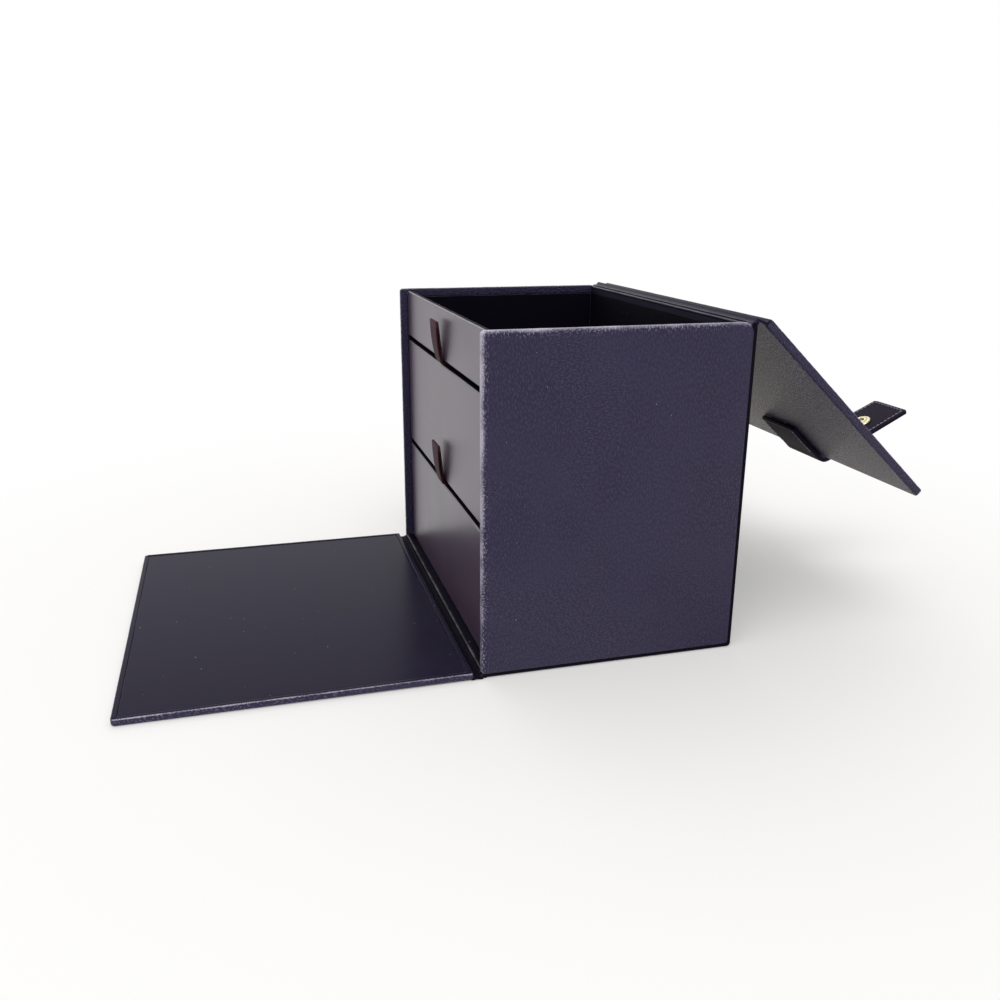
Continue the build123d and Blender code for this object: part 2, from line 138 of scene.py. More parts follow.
class JewelBoxSizes(bpy.types.PropertyGroup):
    """Sizes of the soft finish: roundings, sheets and the sewn strap."""

    leather: length_property("Leather", "Thickness of the leather", 0.0008)
    wall_round: length_property("Wall edge", "Rounding of the padded edges of the walls", 0.0018)
    case_round: length_property("Case edge", "Rounding of the edges of flap, lid, base and back", 0.0013)
    rim_round: length_property("Rim", "Rounding where the leather turns to the inside", 0.0007)
    wall_rim: length_property("Wall turn-in", "Leather turned to the inside of a wall", 0.0051)
    case_rim: length_property("Case turn-in", "Leather turned to the inside of flap and lid", 0.0027)
    corner: length_property("Corner", "Free corners of flap and lid", 0.0022)
    wall_corner: length_property("Wall corner", "Corners of a wall", 0.0020)
    wall_back_corner: length_property("Upper back corner", "Upper back corner of a wall", 0.0055)
    wall_lap: length_property("Wall lap", "A wall's leather laps over the edges of base and back", 0.0024)
    case_tuck: length_property("Case tuck", "Sides of base and back behind the boards' ends", 0.0009)
    grain_relief: length_property("Edge relief", "Unevenness of the grain along the edges", 0.00007)
    lid_angle: FloatProperty(
        name="Lid angle", description="Slope of the open lid", default=math.radians(-43), subtype="ANGLE"
    )
    strap_thickness: length_property("Strap", "Thickness of the sewn strap", 0.0026)
    strap_width: length_property("Strap width", "Width at the lid", 0.038)
    strap_tip_width: length_property("Strap tip", "Width at the tip", 0.033)
    stitch_pitch: length_property("Stitch pitch", "From stitch to stitch", 0.0031)
    stitch_inset: length_property("Stitch inset", "Seam behind the strap's edge", 0.0023)
    front_round: length_property("Front edge", "Rounding of the drawer fronts", 0.0008)


class JewelBoxColours(bpy.types.PropertyGroup):
    """Colours of the leather, linings, thread and metal."""

    # Pebble tops lighter than the valleys: grain tone, partly a painted highlight on the tops
    leather: colour_property("Leather", "Pebble tops of the outer leather", (0.064, 0.053, 0.117))
    leather_valley: colour_property("Leather valleys", "Between the pebbles", (0.025, 0.0198, 0.056))
    # The worn colour is partly a painted highlight: besides rubbed wear it stands for light caught by the
    # rounded edges
    leather_worn: colour_property("Worn leather", "Rubbed edges", (0.60, 0.56, 0.69))
    satin: colour_property("Satin", "Drawer fronts", (0.070, 0.043, 0.076))
    lining: colour_property("Lining", "Linings of flap, lid and compartment", (0.013, 0.0095, 0.027))
    tab: colour_property("Tabs", "Pull tabs", (0.040, 0.012, 0.020))
    strap: colour_property("Strap", "Closing strap", (0.011, 0.007, 0.019))
    thread: colour_property("Thread", "Strap seam", (0.32, 0.30, 0.36))
    brass: colour_property("Brass", "Snap", (0.86, 0.76, 0.50))
    floor: colour_property("Floor", "Table under the box", (0.93, 0.915, 0.885))


# Shader nodes

NODE_ROWS = 6
NODE_SPACING = (200, 260)
MIX_SOCKETS = {"FLOAT": (2, 3, 0), "RGBA": (6, 7, 2)}


def feed(tree, socket, value):
    """Links a node's output to a socket, or sets the socket's own value."""
    if isinstance(value, bpy.types.NodeSocket):
        tree.links.new(value, socket)
    elif socket.type == "RGBA":
        socket.default_value = (*value, 1)
    else:
        socket.default_value = value


def add_node(tree, kind, inputs=None, **properties):
    """A node with its properties and its inputs, each of them a socket to link or a plain value."""
    node = tree.nodes.new(kind)
    column, row = divmod(len(tree.nodes), NODE_ROWS)
    node.location = (NODE_SPACING[0] * column, -NODE_SPACING[1] * row)
    for key, value in properties.items():
        setattr(node, key, value)
    for key, value in (inputs or {}).items():
        feed(tree, node.inputs[key], value)
    return node


def math_node(tree, operation, *values, clamp=False):
    """Result of a Math node."""
    node = add_node(tree, "ShaderNodeMath", dict(enumerate(values)), operation=operation, use_clamp=clamp)
    return node.outputs[0]


def vector_node(tree, operation, *values):
    """Result of a Vector Math node."""
    node = add_node(tree, "ShaderNodeVectorMath", dict(enumerate(values)), operation=operation)
    return node.outputs["Value" if operation == "LENGTH" else "Vector"]


def smooth_step(tree, value, low, high):
    """Value eased from 0 at low to 1 at high."""
    inputs = {"Value": value, "From Min": low, "From Max": high}
    return add_node(tree, "ShaderNodeMapRange", inputs, interpolation_type="SMOOTHSTEP").outputs["Result"]


def mixed(tree, mask, first, second, kind="RGBA"):
    """Two colours, or two numbers, mixed by a mask."""
    low, high, result = MIX_SOCKETS[kind]
    inputs = {0: mask, low: first, high: second}
    return add_node(tree, "ShaderNodeMix", inputs, data_type=kind).outputs[result]


def noise_at(tree, vector, scale, detail=2.0, roughness=0.5, output="Fac", dimensions="2D"):
    """Noise over a vector."""
    inputs = {"Vector": vector, "Scale": scale, "Detail": detail, "Roughness": roughness}
    return add_node(tree, "ShaderNodeTexNoise", inputs, noise_dimensions=dimensions).outputs[output]


def stretched(tree, vector, angle, across, along):
    """A vector turned and scaled, for marks that are longer one way."""
    inputs = {"Vector": vector, "Rotation": (0, 0, math.radians(angle)), "Scale": (across, along, 1)}
    return add_node(tree, "ShaderNodeMapping", inputs, vector_type="TEXTURE").outputs[0]


def pebble_cells(tree, vector):
    """Small raised pebble tops with soft valleys between them."""
    inputs = {"Vector": vector, "Scale": 1.0, "Smoothness": 0.22, "Randomness": 0.9}
    cells = add_node(tree, "ShaderNodeTexVoronoi", inputs, voronoi_dimensions="2D", feature="SMOOTH_F1")
    return smooth_step(tree, cells.outputs["Distance"], 0.46, 0.06)


def new_group(name, inputs, outputs):
    """A node group with the skin coordinate and numbers as inputs; gives the skin in millimetres too."""
    group = bpy.data.node_groups.new(name, "ShaderNodeTree")
    group.interface.new_socket("Skin", in_out="INPUT", socket_type="NodeSocketVector")
    for label, default in inputs.items():
        socket = group.interface.new_socket(label, in_out="INPUT", socket_type="NodeSocketFloat")
        socket.default_value = default
    for label in outputs:
        group.interface.new_socket(label, in_out="OUTPUT", socket_type="NodeSocketFloat")
    start = add_node(group, "NodeGroupInput").outputs
    scaled = add_node(group, "ShaderNodeVectorMath", {0: start["Skin"], "Scale": 1 / MM}, operation="SCALE")
    return group, start, scaled.outputs[0]


def pebble_grain_group():
    """Pebbled leather: long pebbles that run two ways, patch by patch, with fine pores."""
    group, start, place = new_group("Pebble grain", {"Turn Patch": 0.5}, ("Height", "Pebbles", "Cloud"))
    warp = noise_at(group, place, 0.16, 3.0, output="Color")
    bent = vector_node(group, "ADD", place, vector_node(group, "SUBTRACT", warp, (0.5, 0.5, 0.5)))
    upright = pebble_cells(group, stretched(group, bent, 8, 1.08, 2.4))
    sideways = pebble_cells(group, stretched(group, bent, -68, 1.0, 2.0))
    patch = math_node(group, "SUBTRACT", noise_at(group, place, 0.017, 1.0), start["Turn Patch"])
    chosen = mixed(group, smooth_step(group, patch, -0.03, 0.09), upright, sideways, "FLOAT")
    pressed = smooth_step(group, noise_at(group, place, 0.022, 2.0), 0.3, 0.6)
    depth = math_node(group, "MULTIPLY_ADD", pressed, 0.45, 0.55)
    crisp = mixed(group, depth, 0.24, chosen, "FLOAT")
    pores = noise_at(group, place, 2.6, 3.0, 0.6)
    height = math_node(group, "MULTIPLY_ADD", pores, 0.35, crisp)
    cloud = noise_at(group, place, 0.03, 3.0)
    add_node(group, "NodeGroupOutput", {"Height": height, "Pebbles": crisp, "Cloud": cloud})


def edge_wear_group():
    """Rubbed edges: the mesh's own wear, broken up into speckles and short dashes, partly a painted
    highlight on the rounded edges; pebble tops near a worn edge are lightened too, a painted highlight.
    """
    group, start, place = new_group("Edge wear", {"Amount": 1.0, "Grain": 0.5}, ("Mask",))
    worn = add_node(group, "ShaderNodeAttribute", attribute_name="wear").outputs["Fac"]
    amount = math_node(group, "MULTIPLY", worn, start["Amount"])
    speckles = smooth_step(group, noise_at(group, place, 1.5, 3.0, 0.65), 0.32, 0.68)
    dashes = smooth_step(group, noise_at(group, place, 0.06, 3.0), 0.3, 0.7)
    share = math_node(group, "MULTIPLY_ADD", speckles, 0.4, 0.45)
    rubbed = math_node(group, "MULTIPLY", amount, math_node(group, "MULTIPLY_ADD", dashes, 0.35, share))
    # Pebble tops close to a worn edge, lightened as a painted highlight
    tops = math_node(group, "SUBTRACT", start["Grain"], 0.4)
    near = math_node(group, "MULTIPLY", amount, 4.0, clamp=True)
    aside = math_node(group, "MULTIPLY_ADD", amount, -0.34, 0.40)
    lit = math_node(group, "MULTIPLY", tops, math_node(group, "MULTIPLY", near, aside))
    total = math_node(group, "ADD", rubbed, lit)
    add_node(group, "NodeGroupOutput", {"Mask": smooth_step(group, total, 0.14, 0.88)})


def satin_streak_group():
    """Faint streaks and clouds of a smooth coated sheet."""
    group, start, place = new_group("Satin streaks", {"Across": 0.8, "Along": 30.0}, ("Tone", "Height"))
    scale = add_node(group, "ShaderNodeCombineXYZ", {0: start["Across"], 1: start["Along"]}).outputs[0]
    streaks = noise_at(group, vector_node(group, "DIVIDE", place, scale), 1.0, 3.0)
    tone = math_node(group, "ADD", streaks, noise_at(group, place, 0.05, 3.0))
    height = math_node(group, "MULTIPLY_ADD", noise_at(group, place, 3.5, 2.0), 0.25, streaks)
    add_node(group, "NodeGroupOutput", {"Tone": math_node(group, "MULTIPLY", tone, 0.5), "Height": height})


def dust_group():
    """A few small pale specks."""
    group, start, place = new_group("Dust specks", {"Share": 0.02}, ("Mask",))
    inputs = {"Vector": place, "Scale": 0.35}
    cells = add_node(group, "ShaderNodeTexVoronoi", inputs, voronoi_dimensions="2D", feature="F1").outputs
    apart = add_node(group, "ShaderNodeSeparateColor", {0: cells["Color"]}).outputs
    chosen = math_node(group, "GREATER_THAN", apart[0], math_node(group, "SUBTRACT", 1.0, start["Share"]))
    near = math_node(group, "LESS_THAN", cells["Distance"], math_node(group, "MULTIPLY", apart[1], 0.09))
    add_node(group, "NodeGroupOutput", {"Mask": math_node(group, "MULTIPLY", chosen, near)})


# Materials

# Each finish has the name of its material and the slot that its pieces have in the library
FINISHES = {
    "leather": ("pebbled leather", "grained_leather"),
    "satin": ("satin front", "satin_lining"),
    "lining": ("smooth lining", "satin_lining"),
    # The lining darkened to a third: painted shade for the parts inside the box, in its grooves and in its
    # gaps
    "interior": ("lining darkened as painted shade", "satin_lining"),
    "tab": ("burgundy tab leather", "tab_leather"),
    "strap": ("strap leather", "strap_leather"),
    "thread": ("waxed thread", "thread"),
    "brass": ("pale brass", "brass"),
    "board": ("grey board", "greyboard"),
    "covered": ("covered board", "covered_board"),
}
# Pale edge colour of the sheets, partly rubbed wear, partly a painted highlight: it draws thin bright lines
# along the fronts' edges, the hinges and the hem
SHEET_EDGE = (0.26, 0.24, 0.28)
SHEET_EDGE_WEAR = 0.55
SHEET_DUST = (0.40, 0.38, 0.40)
BOARD_DUST = (0.3, 0.28, 0.3)
LEATHER_DUST = (0.35, 0.33, 0.36)


class Finish:
    """A material being made: its node tree, its shader and the skin coordinate."""

    def __init__(self, name):
        self.material = bpy.data.materials.new(name)
        self.material.use_nodes = True
        self.tree = self.material.node_tree
        self.shader = next(n for n in self.tree.nodes if n.type == "BSDF_PRINCIPLED")
        self.skin = None

    def group(self, name, **values):
        """Outputs of a node group that is fed with the skin coordinate."""
        if self.skin is None:
            self.skin = add_node(self.tree, "ShaderNodeUVMap", uv_map="skin").outputs[0]
        inputs = {key.replace("_", " ").title(): value for key, value in values.items()}
        tree = bpy.data.node_groups[name]
        return add_node(self.tree, "ShaderNodeGroup", {"Skin": self.skin, **inputs}, node_tree=tree).outputs

    def mix(self, mask, first, second):
        """Two colours mixed by a mask."""
        return mixed(self.tree, mask, first, second)

    def span(self, value, low, high):
        """A value that runs from low to high as its input runs from 0 to 1."""
        inputs = {"Value": value, "To Min": low, "To Max": high}
        return add_node(self.tree, "ShaderNodeMapRange", inputs).outputs["Result"]

    def made(self, inputs, height=None, distance=0.0, strength=0.0):
        """Feeds the shader, with relief of a distance in metres where a height is given."""
        if height is not None:
            relief = {"Height": height, "Distance": distance, "Strength": strength}
            inputs = {**inputs, "Normal": add_node(self.tree, "ShaderNodeBump", relief).outputs[0]}
        for key, value in inputs.items():
            feed(self.tree, self.shader.inputs[key], value)


def shades(colour, factor):
    """A colour made lighter or darker."""
    return tuple(min(1.0, part * factor) for part in colour)


def leather_finish(finish, colours):
    """Pebbled leather with rubbed edges; the pale edges and the lighter pebble tops are partly painted
    highlight.
    """
    grain = finish.group("Pebble grain", turn_patch=0.52)
    worn = finish.group("Edge wear", amount=1.0, grain=grain["Pebbles"])
    dust = finish.group("Dust specks", share=0.006)
    # Valleys to tops by the pebble mask; the lighter tops are partly a painted highlight
    toned = finish.mix(grain["Pebbles"], colours.leather_valley, colours.leather)
    clouded = finish.mix(finish.span(grain["Cloud"], 0.0, 0.3), toned, shades(colours.leather, 0.56))
    rubbed = finish.mix(worn["Mask"], clouded, colours.leather_worn)
    dusty = finish.mix(dust["Mask"], rubbed, LEATHER_DUST)
    roughness = finish.span(grain["Pebbles"], 0.34, 0.22)
    inputs = {"Base Color": dusty, "Roughness": roughness, "Specular IOR Level": 0.22}
    finish.made(inputs, grain["Height"], 0.00050, 0.85)


def soft_leather_finish(finish, colour, wear):
    """Fine-grained leather of tabs and strap, lighter on its rubbed edges; on the tabs' tops this is partly
    a painted highlight.
    """
    grain = finish.group("Pebble grain", turn_patch=0.5)
    worn = finish.group("Edge wear", amount=wear)
    toned = finish.mix(grain["Cloud"], shades(colour, 0.75), shades(colour, 1.35))
    rubbed = finish.mix(worn["Mask"], toned, shades(colour, 4.0))
    inputs = {"Base Color": rubbed, "Roughness": finish.span(grain["Pebbles"], 0.60, 0.48), "IOR": 1.15}
    finish.made(inputs, grain["Height"], 0.00006, 0.6)


def streaked_finish(finish, colour, tones, streak, roughness, relief, edge=None, dust=None, **plain):
    """A smooth surface with faint streaks; it may have rubbed edges, partly a painted highlight, dust and
    other plain values.
    """
    streaks = finish.group("Satin streaks", across=streak[0], along=streak[1])
    toned = finish.mix(streaks["Tone"], shades(colour, tones[0]), shades(colour, tones[1]))
    if edge:
        toned = finish.mix(finish.group("Edge wear", amount=SHEET_EDGE_WEAR)["Mask"], toned, edge)
    if dust:
        share, speck = dust
        toned = finish.mix(finish.group("Dust specks", share=share)["Mask"], toned, speck)
    inputs = {"Base Color": toned, "Roughness": finish.span(streaks["Tone"], *roughness), **plain}
    finish.made(inputs, streaks["Height"], *relief)


def sheet_finish(finish, colour, roughness, refraction, streak, dust_share, relief):
    """Smooth coated sheet for fronts and linings."""
    rough_span = (roughness - 0.04, roughness + 0.04)
    dust = (dust_share, SHEET_DUST)
    streaked_finish(
        finish, colour, (0.7, 1.3), streak, rough_span, (relief, 0.5), SHEET_EDGE, dust, IOR=refraction
    )


def board_finish(finish):
    """Grey pulp board inside the covers."""
    place = add_node(finish.tree, "ShaderNodeTexCoord").outputs["Object"]
    fibre = noise_at(finish.tree, place, 900.0, 4.0, dimensions="3D")
    colour = finish.mix(fibre, (0.13, 0.12, 0.11), (0.24, 0.22, 0.20))
    finish.made({"Base Color": colour, "Roughness": finish.span(fibre, 0.8, 0.95)})


def make_finishes(colours):
    """Makes the node groups and all materials of the box."""
    for make_group in (pebble_grain_group, edge_wear_group, satin_streak_group, dust_group):
        make_group()
    new = {name: Finish(label) for name, (label, _) in FINISHES.items()}
    # Painted shade: the lining at a third of its brightness, for parts that lie in shade inside the box and
    # in its gaps
    dark = shades(colours.lining, 0.3)
    leather_finish(new["leather"], colours)
    sheet_finish(new["satin"], colours.satin, 0.33, 1.58, (30.0, 130.0), 0.004, 0.000005)
    sheet_finish(new["lining"], colours.lining, 0.3, 1.12, (6.0, 9.0), 0.012, 0.00004)
    sheet_finish(new["interior"], dark, 0.7, 1.15, (4.0, 6.0), 0.006, 0.00004)
    soft_leather_finish(new["tab"], colours.tab, 0.8)
    soft_leather_finish(new["strap"], colours.strap, 0.5)
    streaked_finish(new["thread"], colours.thread, (0.7, 1.0), (0.25, 0.5), (0.5, 0.7), (0.00008, 0.6))
    streaked_finish(
        new["brass"], colours.brass, (0.85, 1.0), (0.3, 6.0), (0.16, 0.32), (0.00001, 0.4), Metallic=1.0
    )
    board_finish(new["board"])
    streaked_finish(
        new["covered"], colours.lining, (0.75, 1.3), (0.6, 2.5), (0.55, 0.72), (0.00003, 0.5),
        dust=(0.01, BOARD_DUST), IOR=1.25,
    )


def finish_named(name):
    """A material of the box, made by the first operator."""
    return bpy.data.materials[FINISHES[name][0]]


# Mesh tools


def placed(origin, across, along, into):
    """Matrix of a flat piece: across and along its outer face, and into its thickness."""
    matrix = Matrix((across, along, into)).transposed().to_4x4()
    matrix.translation = origin
    return matrix


def unevenness(size, *place):
    """Smooth unevenness between -1 and 1 at a place, for marks of a given size."""
    return noise.noise(Vector(place) / size)


def quarter_turn(steps):
    """Angles of a quarter circle, from 0 to 90 degrees."""
    return [math.radians(90 * step / steps) for step in range(steps + 1)]


class Outline:
    """Rounded rectangle whose rings have the same number of points at every inset."""

    ARC = 7

    def __init__(self, low, high, corners, pitch=0.0012):
        self.low = low
        self.high = high
        self.corners = corners
        self.counts = [max(2, round((high[i] - low[i]) / pitch)) for i in (0, 1)]

    def ring(self, inset):
        """Points of one ring: across, along, the outward direction, and how near the middle of a corner."""
        low = [value + inset for value in self.low]
        high = [value - inset for value in self.high]
        tips = ((low[0], low[1]), (high[0], low[1]), (high[0], high[1]), (low[0], high[1]))
        arcs = []
        for index, tip in enumerate(tips):
            radius = max(self.corners[index] - inset, 1e-5)
            centre_u = tip[0] + (radius if index in (0, 3) else -radius)
            centre_v = tip[1] + (radius if index in (0, 1) else -radius)
            arc = []
            for step in range(self.ARC):
                turn = step / (self.ARC - 1)
                angle = math.radians(180 + 90 * index + 90 * turn)
                out = (math.cos(angle), math.sin(angle))
                place = (centre_u + radius * out[0], centre_v + radius * out[1])
                arc.append((*place, *out, 1 - abs(2 * turn - 1)))
            arcs.append(arc)
        points = []
        for index, arc in enumerate(arcs):
            points += arc
            start = arc[-1]
            goal = arcs[(index + 1) % 4][0]
            count = self.counts[index % 2]
            for step in range(1, count):
                share = step / count
                u = start[0] + (goal[0] - start[0]) * share
                v = start[1] + (goal[1] - start[1]) * share
                points.append((u, v, start[2], start[3], 0.0))
        return points


def outer_arc(radius, steps, reach, wear):
    """Stations from the outer face round to the edge; wear follows from the angle."""
    return [
        Station(
            radius - radius * math.sin(angle), radius - radius * math.cos(angle), reach + radius * angle,
            wear(angle), math.sin(angle), -math.cos(angle),
        )
        for angle in quarter_turn(steps)
    ]


def inner_arc(radius, steps, thickness, reach, wear):
    """Stations from the edge round to the inner face; wear follows from the angle."""
    return [
        Station(
            radius - radius * math.cos(angle), thickness - radius + radius * math.sin(angle),
            reach + radius * angle, wear(angle), math.cos(angle), math.sin(angle),
        )
        for angle in quarter_turn(steps)
    ]


def wrap_stations(thickness, outer, rim_round, rim, tuck, outer_wear=1.0):
    """Section of a leather wrap, from its outer face round the edge to the turn-in."""
    # Wear rises towards the edge and peaks on its rounding: partly rubbing, partly a painted highlight on
    # the rounded edge
    faces = ((0.014, 0.0), (0.007, 0.03), (0.0045, 0.1), (0.003, 0.22))
    stations = [
        Station(inset, 0, -inset, wear * outer_wear, 0, -1) for inset, wear in faces if inset > outer * 1.2
    ]
    stations += outer_arc(outer, 7, -outer, lambda angle: outer_wear * (0.34 + 0.5 * math.sin(angle)))
    reach = outer * math.pi / 2 - outer
    edge = thickness - rim_round - outer
    edge_wear = 0.06 + 0.74 * outer_wear
    for share in (0.35, 0.7):
        stations.append(Station(0, outer + edge * share, reach + edge * share, edge_wear, 1, 0))
    reach += edge
    stations += inner_arc(rim_round, 5, thickness, reach, lambda angle: 0.4 + 0.6 * math.sin(2 * angle))
    reach += rim_round * math.pi / 2
    flat = rim - rim_round
    for share, drop, wear in ((0.5, 0, 0.12), (0.85, 0, 0.2), (0.96, 0.00008, 0.3), (1.0, 0.00026, 0.1)):
        inset = rim_round + flat * share
        stations.append(Station(inset, thickness - drop, reach + flat * share, wear, 0, 1))
    stations.append(Station(rim + 0.0002, thickness - tuck, reach + flat + tuck, 0, 0, 1))
    return stations


def slab_stations(thickness, top_round, foot_round):
    """Section of a sheet or board from the middle of its face round its edge to its back."""
    stations = [Station(top_round + inset, 0, -top_round - inset, wear, 0, -1)
                for inset, wear in ((0.004, 0), (0.0008, 0.02))]
    stations += outer_arc(top_round, 5, 0, lambda angle: 0.3 + 0.7 * math.sin(2 * angle))
    stations += inner_arc(foot_round, 5, thickness, thickness, lambda angle: 0.2)
    stations.append(Station(foot_round + 0.002, thickness, thickness + foot_round + 0.004, 0, 0, 1))
    return stations


def link_object(name, data):
    """A new object in the scene."""
    item = bpy.data.objects.new(name, data)
    bpy.context.scene.collection.objects.link(item)
    return item


def bridge(bm, rings, closed=True, face_finish=None):
    """Faces between each ring of vertices and the next; the finish follows from ring and step."""
    count = len(rings[0])
    for index, (first, second) in enumerate(zip(rings, rings[1:])):
        for step in range(count if closed else count - 1):
            following = (step + 1) % count
            face = bm.faces.new((first[step], first[following], second[following], second[step]))
            if face_finish:
                face.material_index = face_finish(index, step)


def write_mesh(bm, mesh, skin_of):
    """Writes smooth faces that point outwards to a mesh; the skin coordinate follows from each corner."""
    skin_layer = bm.loops.layers.uv["skin"]
    for face in bm.faces:
        face.smooth = True
        for loop in face.loops:
            loop[skin_layer].uv = skin_of(loop)
    bmesh.ops.recalc_face_normals(bm, faces=bm.faces)
    bm.to_mesh(mesh)
    bm.free()


def mesh_of_rows(name, rows, closed=True, row_caps=BOTH_ENDS, column_caps=NO_END, face_finish=None):
    """A mesh over rows of (place, skin, wear) entries, with the chosen ends closed by a face."""
    bm = bmesh.new()
    bm.loops.layers.uv.new("skin")
    wear_layer = bm.verts.layers.float.new("wear")
    skins = {}
    grid = []
    for row in rows:
        line = []
        for place, skin, wear in row:
            vert = bm.verts.new(place)
            vert[wear_layer] = wear
            skins[vert] = skin
            line.append(vert)
        grid.append(line)
    bridge(bm, grid, closed, face_finish)
    for wanted, line in zip(row_caps, (grid[0], grid[-1])):
        if wanted:
            bm.faces.new(line)
    for wanted, step in zip(column_caps, (0, -1)):
        if wanted:
            bm.faces.new([line[step] for line in grid])
    mesh = bpy.data.meshes.new(name)
    write_mesh(bm, mesh, lambda loop: skins[loop.vert])
    return link_object(name, mesh)


def flat_rows(outline, stations, matrix, relief=0.0, sway=0.0, pleat=0.0, rub=None):
    """Rows of a flat piece lofted from its outline and section."""
    rows = []
    edge = outline.ring(0)
    for station in stations:
        row = []
        for point, border in zip(outline.ring(station.inset), edge):
            u, v, out_u, out_v, corner = point
            skin = (u, v)
            if station.reach > 0:
                skin = (border[0] + out_u * station.reach, border[1] + out_v * station.reach)
            push = relief * station.wear * unevenness(0.0011, *skin, 0.3)
            push += relief * 0.8 * station.wear * unevenness(0.0034, *skin, 7.1)
            push += sway * abs(station.out) * unevenness(0.022, *skin, 2.7)
            u += out_u * station.out * push
            v += out_v * station.out * push
            depth = station.depth + station.rise * push
            if pleat and station.rise > 0.5:
                depth -= pleat * max(0.0, corner * 2 - 1)
            wear = station.wear * (1 + 0.25 * corner)
            if rub:
                wear *= rub(border[0], border[1])
            row.append((matrix @ Vector((u, v, depth)), skin, min(1.0, wear)))
        rows.append(row)
    return rows


def dress(piece, finish, body, nodes=(), second=None):
    """Gives a piece its material, the body it rides on and the nodes that it stands for."""
    piece.data.materials.append(finish_named(finish))
    if second:
        piece.data.materials.append(finish_named(second))
    if body:
        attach(piece, body)
    if nodes:
        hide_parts(*nodes)
    return piece


def closed_piece(name, rows, *dressing, face_finish=None):
    """A dressed piece over closed rows, with both ends closed; dressing is what dress takes."""
    return dress(mesh_of_rows(name, rows, face_finish=face_finish), *dressing)


def rub_by_side(low, high, sides):
    """Gives how worn a panel is by place: two ends for each side, low and high across, then along."""

    def rub(u, v):
        gaps = (u - low[0], high[0] - u, v - low[1], high[1] - v)
        side = gaps.index(min(gaps))
        axis = 1 if side < 2 else 0
        share = ((u, v)[axis] - low[axis]) / (high[axis] - low[axis])
        first, last = sides[side]
        return first + (last - first) * share

    return rub


def leather_panel(
    name, outline, thickness, outer, rim, matrix, sizes, sides, capped=True, turn_in=0, wear=1.0
):
    """A leather-wrapped board: outer face, padded edge and turn-in, which may have the second finish."""
    stations = wrap_stations(thickness, outer, sizes.rim_round, rim, sizes.leather, wear)
    rub = rub_by_side(outline.low, outline.high, sides)
    rows = flat_rows(outline, stations, matrix, sizes.grain_relief, SHEET_SWAY, 0.0002, rub)
    inside = [station.rise > 0.95 for station in stations]
    return mesh_of_rows(
        name, rows, row_caps=(capped, False), face_finish=lambda row, step: turn_in if inside[row] else 0
    )


def sheet_piece(name, low, high, corner, thickness, rounding, matrix, *dressing):
    """A dressed thin sheet or board with rounded edges."""
    outline = Outline(low, high, (corner,) * 4, pitch=0.004)
    rows = flat_rows(outline, slab_stations(thickness, rounding, rounding), matrix, sway=SHEET_SWAY)
    return closed_piece(name, rows, *dressing)


def board_piece(node, rounding, finish, body, facing=2):
    """A board with rounded edges in the place of a CAD node; facing is the axis across its thickness."""
    low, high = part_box(node)
    first, second = (axis for axis in (0, 1, 2) if axis != facing)
    axes = (RIGHT, BACKWARD, UP)
    matrix = placed(axes[facing] * high[facing], axes[first], axes[second], -axes[facing])
    thickness = high[facing] - low[facing]
    rounding = min(rounding, thickness * 0.45)
    sheet_piece(
        node + "_board", (low[first], low[second]), (high[first], high[second]), rounding * 1.5, thickness,
        rounding, matrix, finish, body, (node,),
    )


def rounded_section(section):
    """A closed section of (wear, place) entries with a smooth curve through them."""
    count = len(section)
    curve = []
    for index in range(count):
        before = section[index - 1][1]
        wear, first = section[index]
        next_wear, second = section[(index + 1) % count]
        after = section[(index + 2) % count][1]
        length = (second - first).length
        leave = (second - before) * 0.5 * min(1.0, length / max(1e-6, (first - before).length))
        arrive = (after - first) * 0.5 * min(1.0, length / max(1e-6, (after - second).length))
        for part in range(CURVE_PARTS):
            t = part / CURVE_PARTS
            place = first * (2 * t ** 3 - 3 * t ** 2 + 1) + leave * (t ** 3 - 2 * t ** 2 + t)
            place = place + second * (3 * t ** 2 - 2 * t ** 3) + arrive * (t ** 3 - t ** 2)
            curve.append((wear * (1 - t) + next_wear * t, place))
    return curve


def ribbon_rows(section, half_width, sway, seed, steps=FOLD_STEPS):
    """Rows of a folded strip that runs across the box: one closed section (wear, place) per step."""
    section = rounded_section(section)
    lengths = [0.0]
    for first, second in zip(section, section[1:]):
        lengths.append(lengths[-1] + (second[1] - first[1]).length)
    centre = sum((place for _, place in section), Vector((0, 0, 0))) / len(section)
    rows = []
    for step in range(steps + 1):
        x = -half_width + 2 * half_width * step / steps
        at_end = half_width - abs(x) < 0.0004
        row = []
        for (wear, place), run in zip(section, lengths):
            moved = place + (place - centre).normalized() * sway * unevenness(0.009, x, run, seed)
            if at_end:
                moved += (centre - place).normalized() * min(0.0003, (centre - place).length * 0.3)
            row.append((moved + RIGHT * x, (x, run), wear))
        rows.append(row)
    return rows


def circle(steps):
    """Cosine and sine of equal steps round a circle."""
    angles = (2 * math.pi * step / steps for step in range(steps))
    return [(math.cos(angle), math.sin(angle)) for angle in angles]


def turned_rows(profile, matrix, steps=48):
    """Rows of a turned piece: profile of (radius, height) along the matrix's third axis."""
    rows = []
    run = 0.0
    previous = profile[0]
    for radius, height in profile:
        run += math.hypot(radius - previous[0], height - previous[1])
        previous = (radius, height)
        row = []
        for step, (cosine, sine) in enumerate(circle(steps)):
            place = matrix @ Vector((radius * cosine, radius * sine, height))
            row.append((place, (2 * math.pi * step / steps * 0.004, run), 0.0))
        rows.append(row)
    return rows


def along_line(line):
    """Places along a middle line, each with its run and the direction square to the line."""
    run = 0.0
    for index, place in enumerate(line):
        behind = line[max(index - 1, 0)]
        ahead = line[min(index + 1, len(line) - 1)]
        run += (place - behind).length
        tangent = (ahead - behind).normalized()
        yield place, run, Vector((0, tangent.z, -tangent.y))


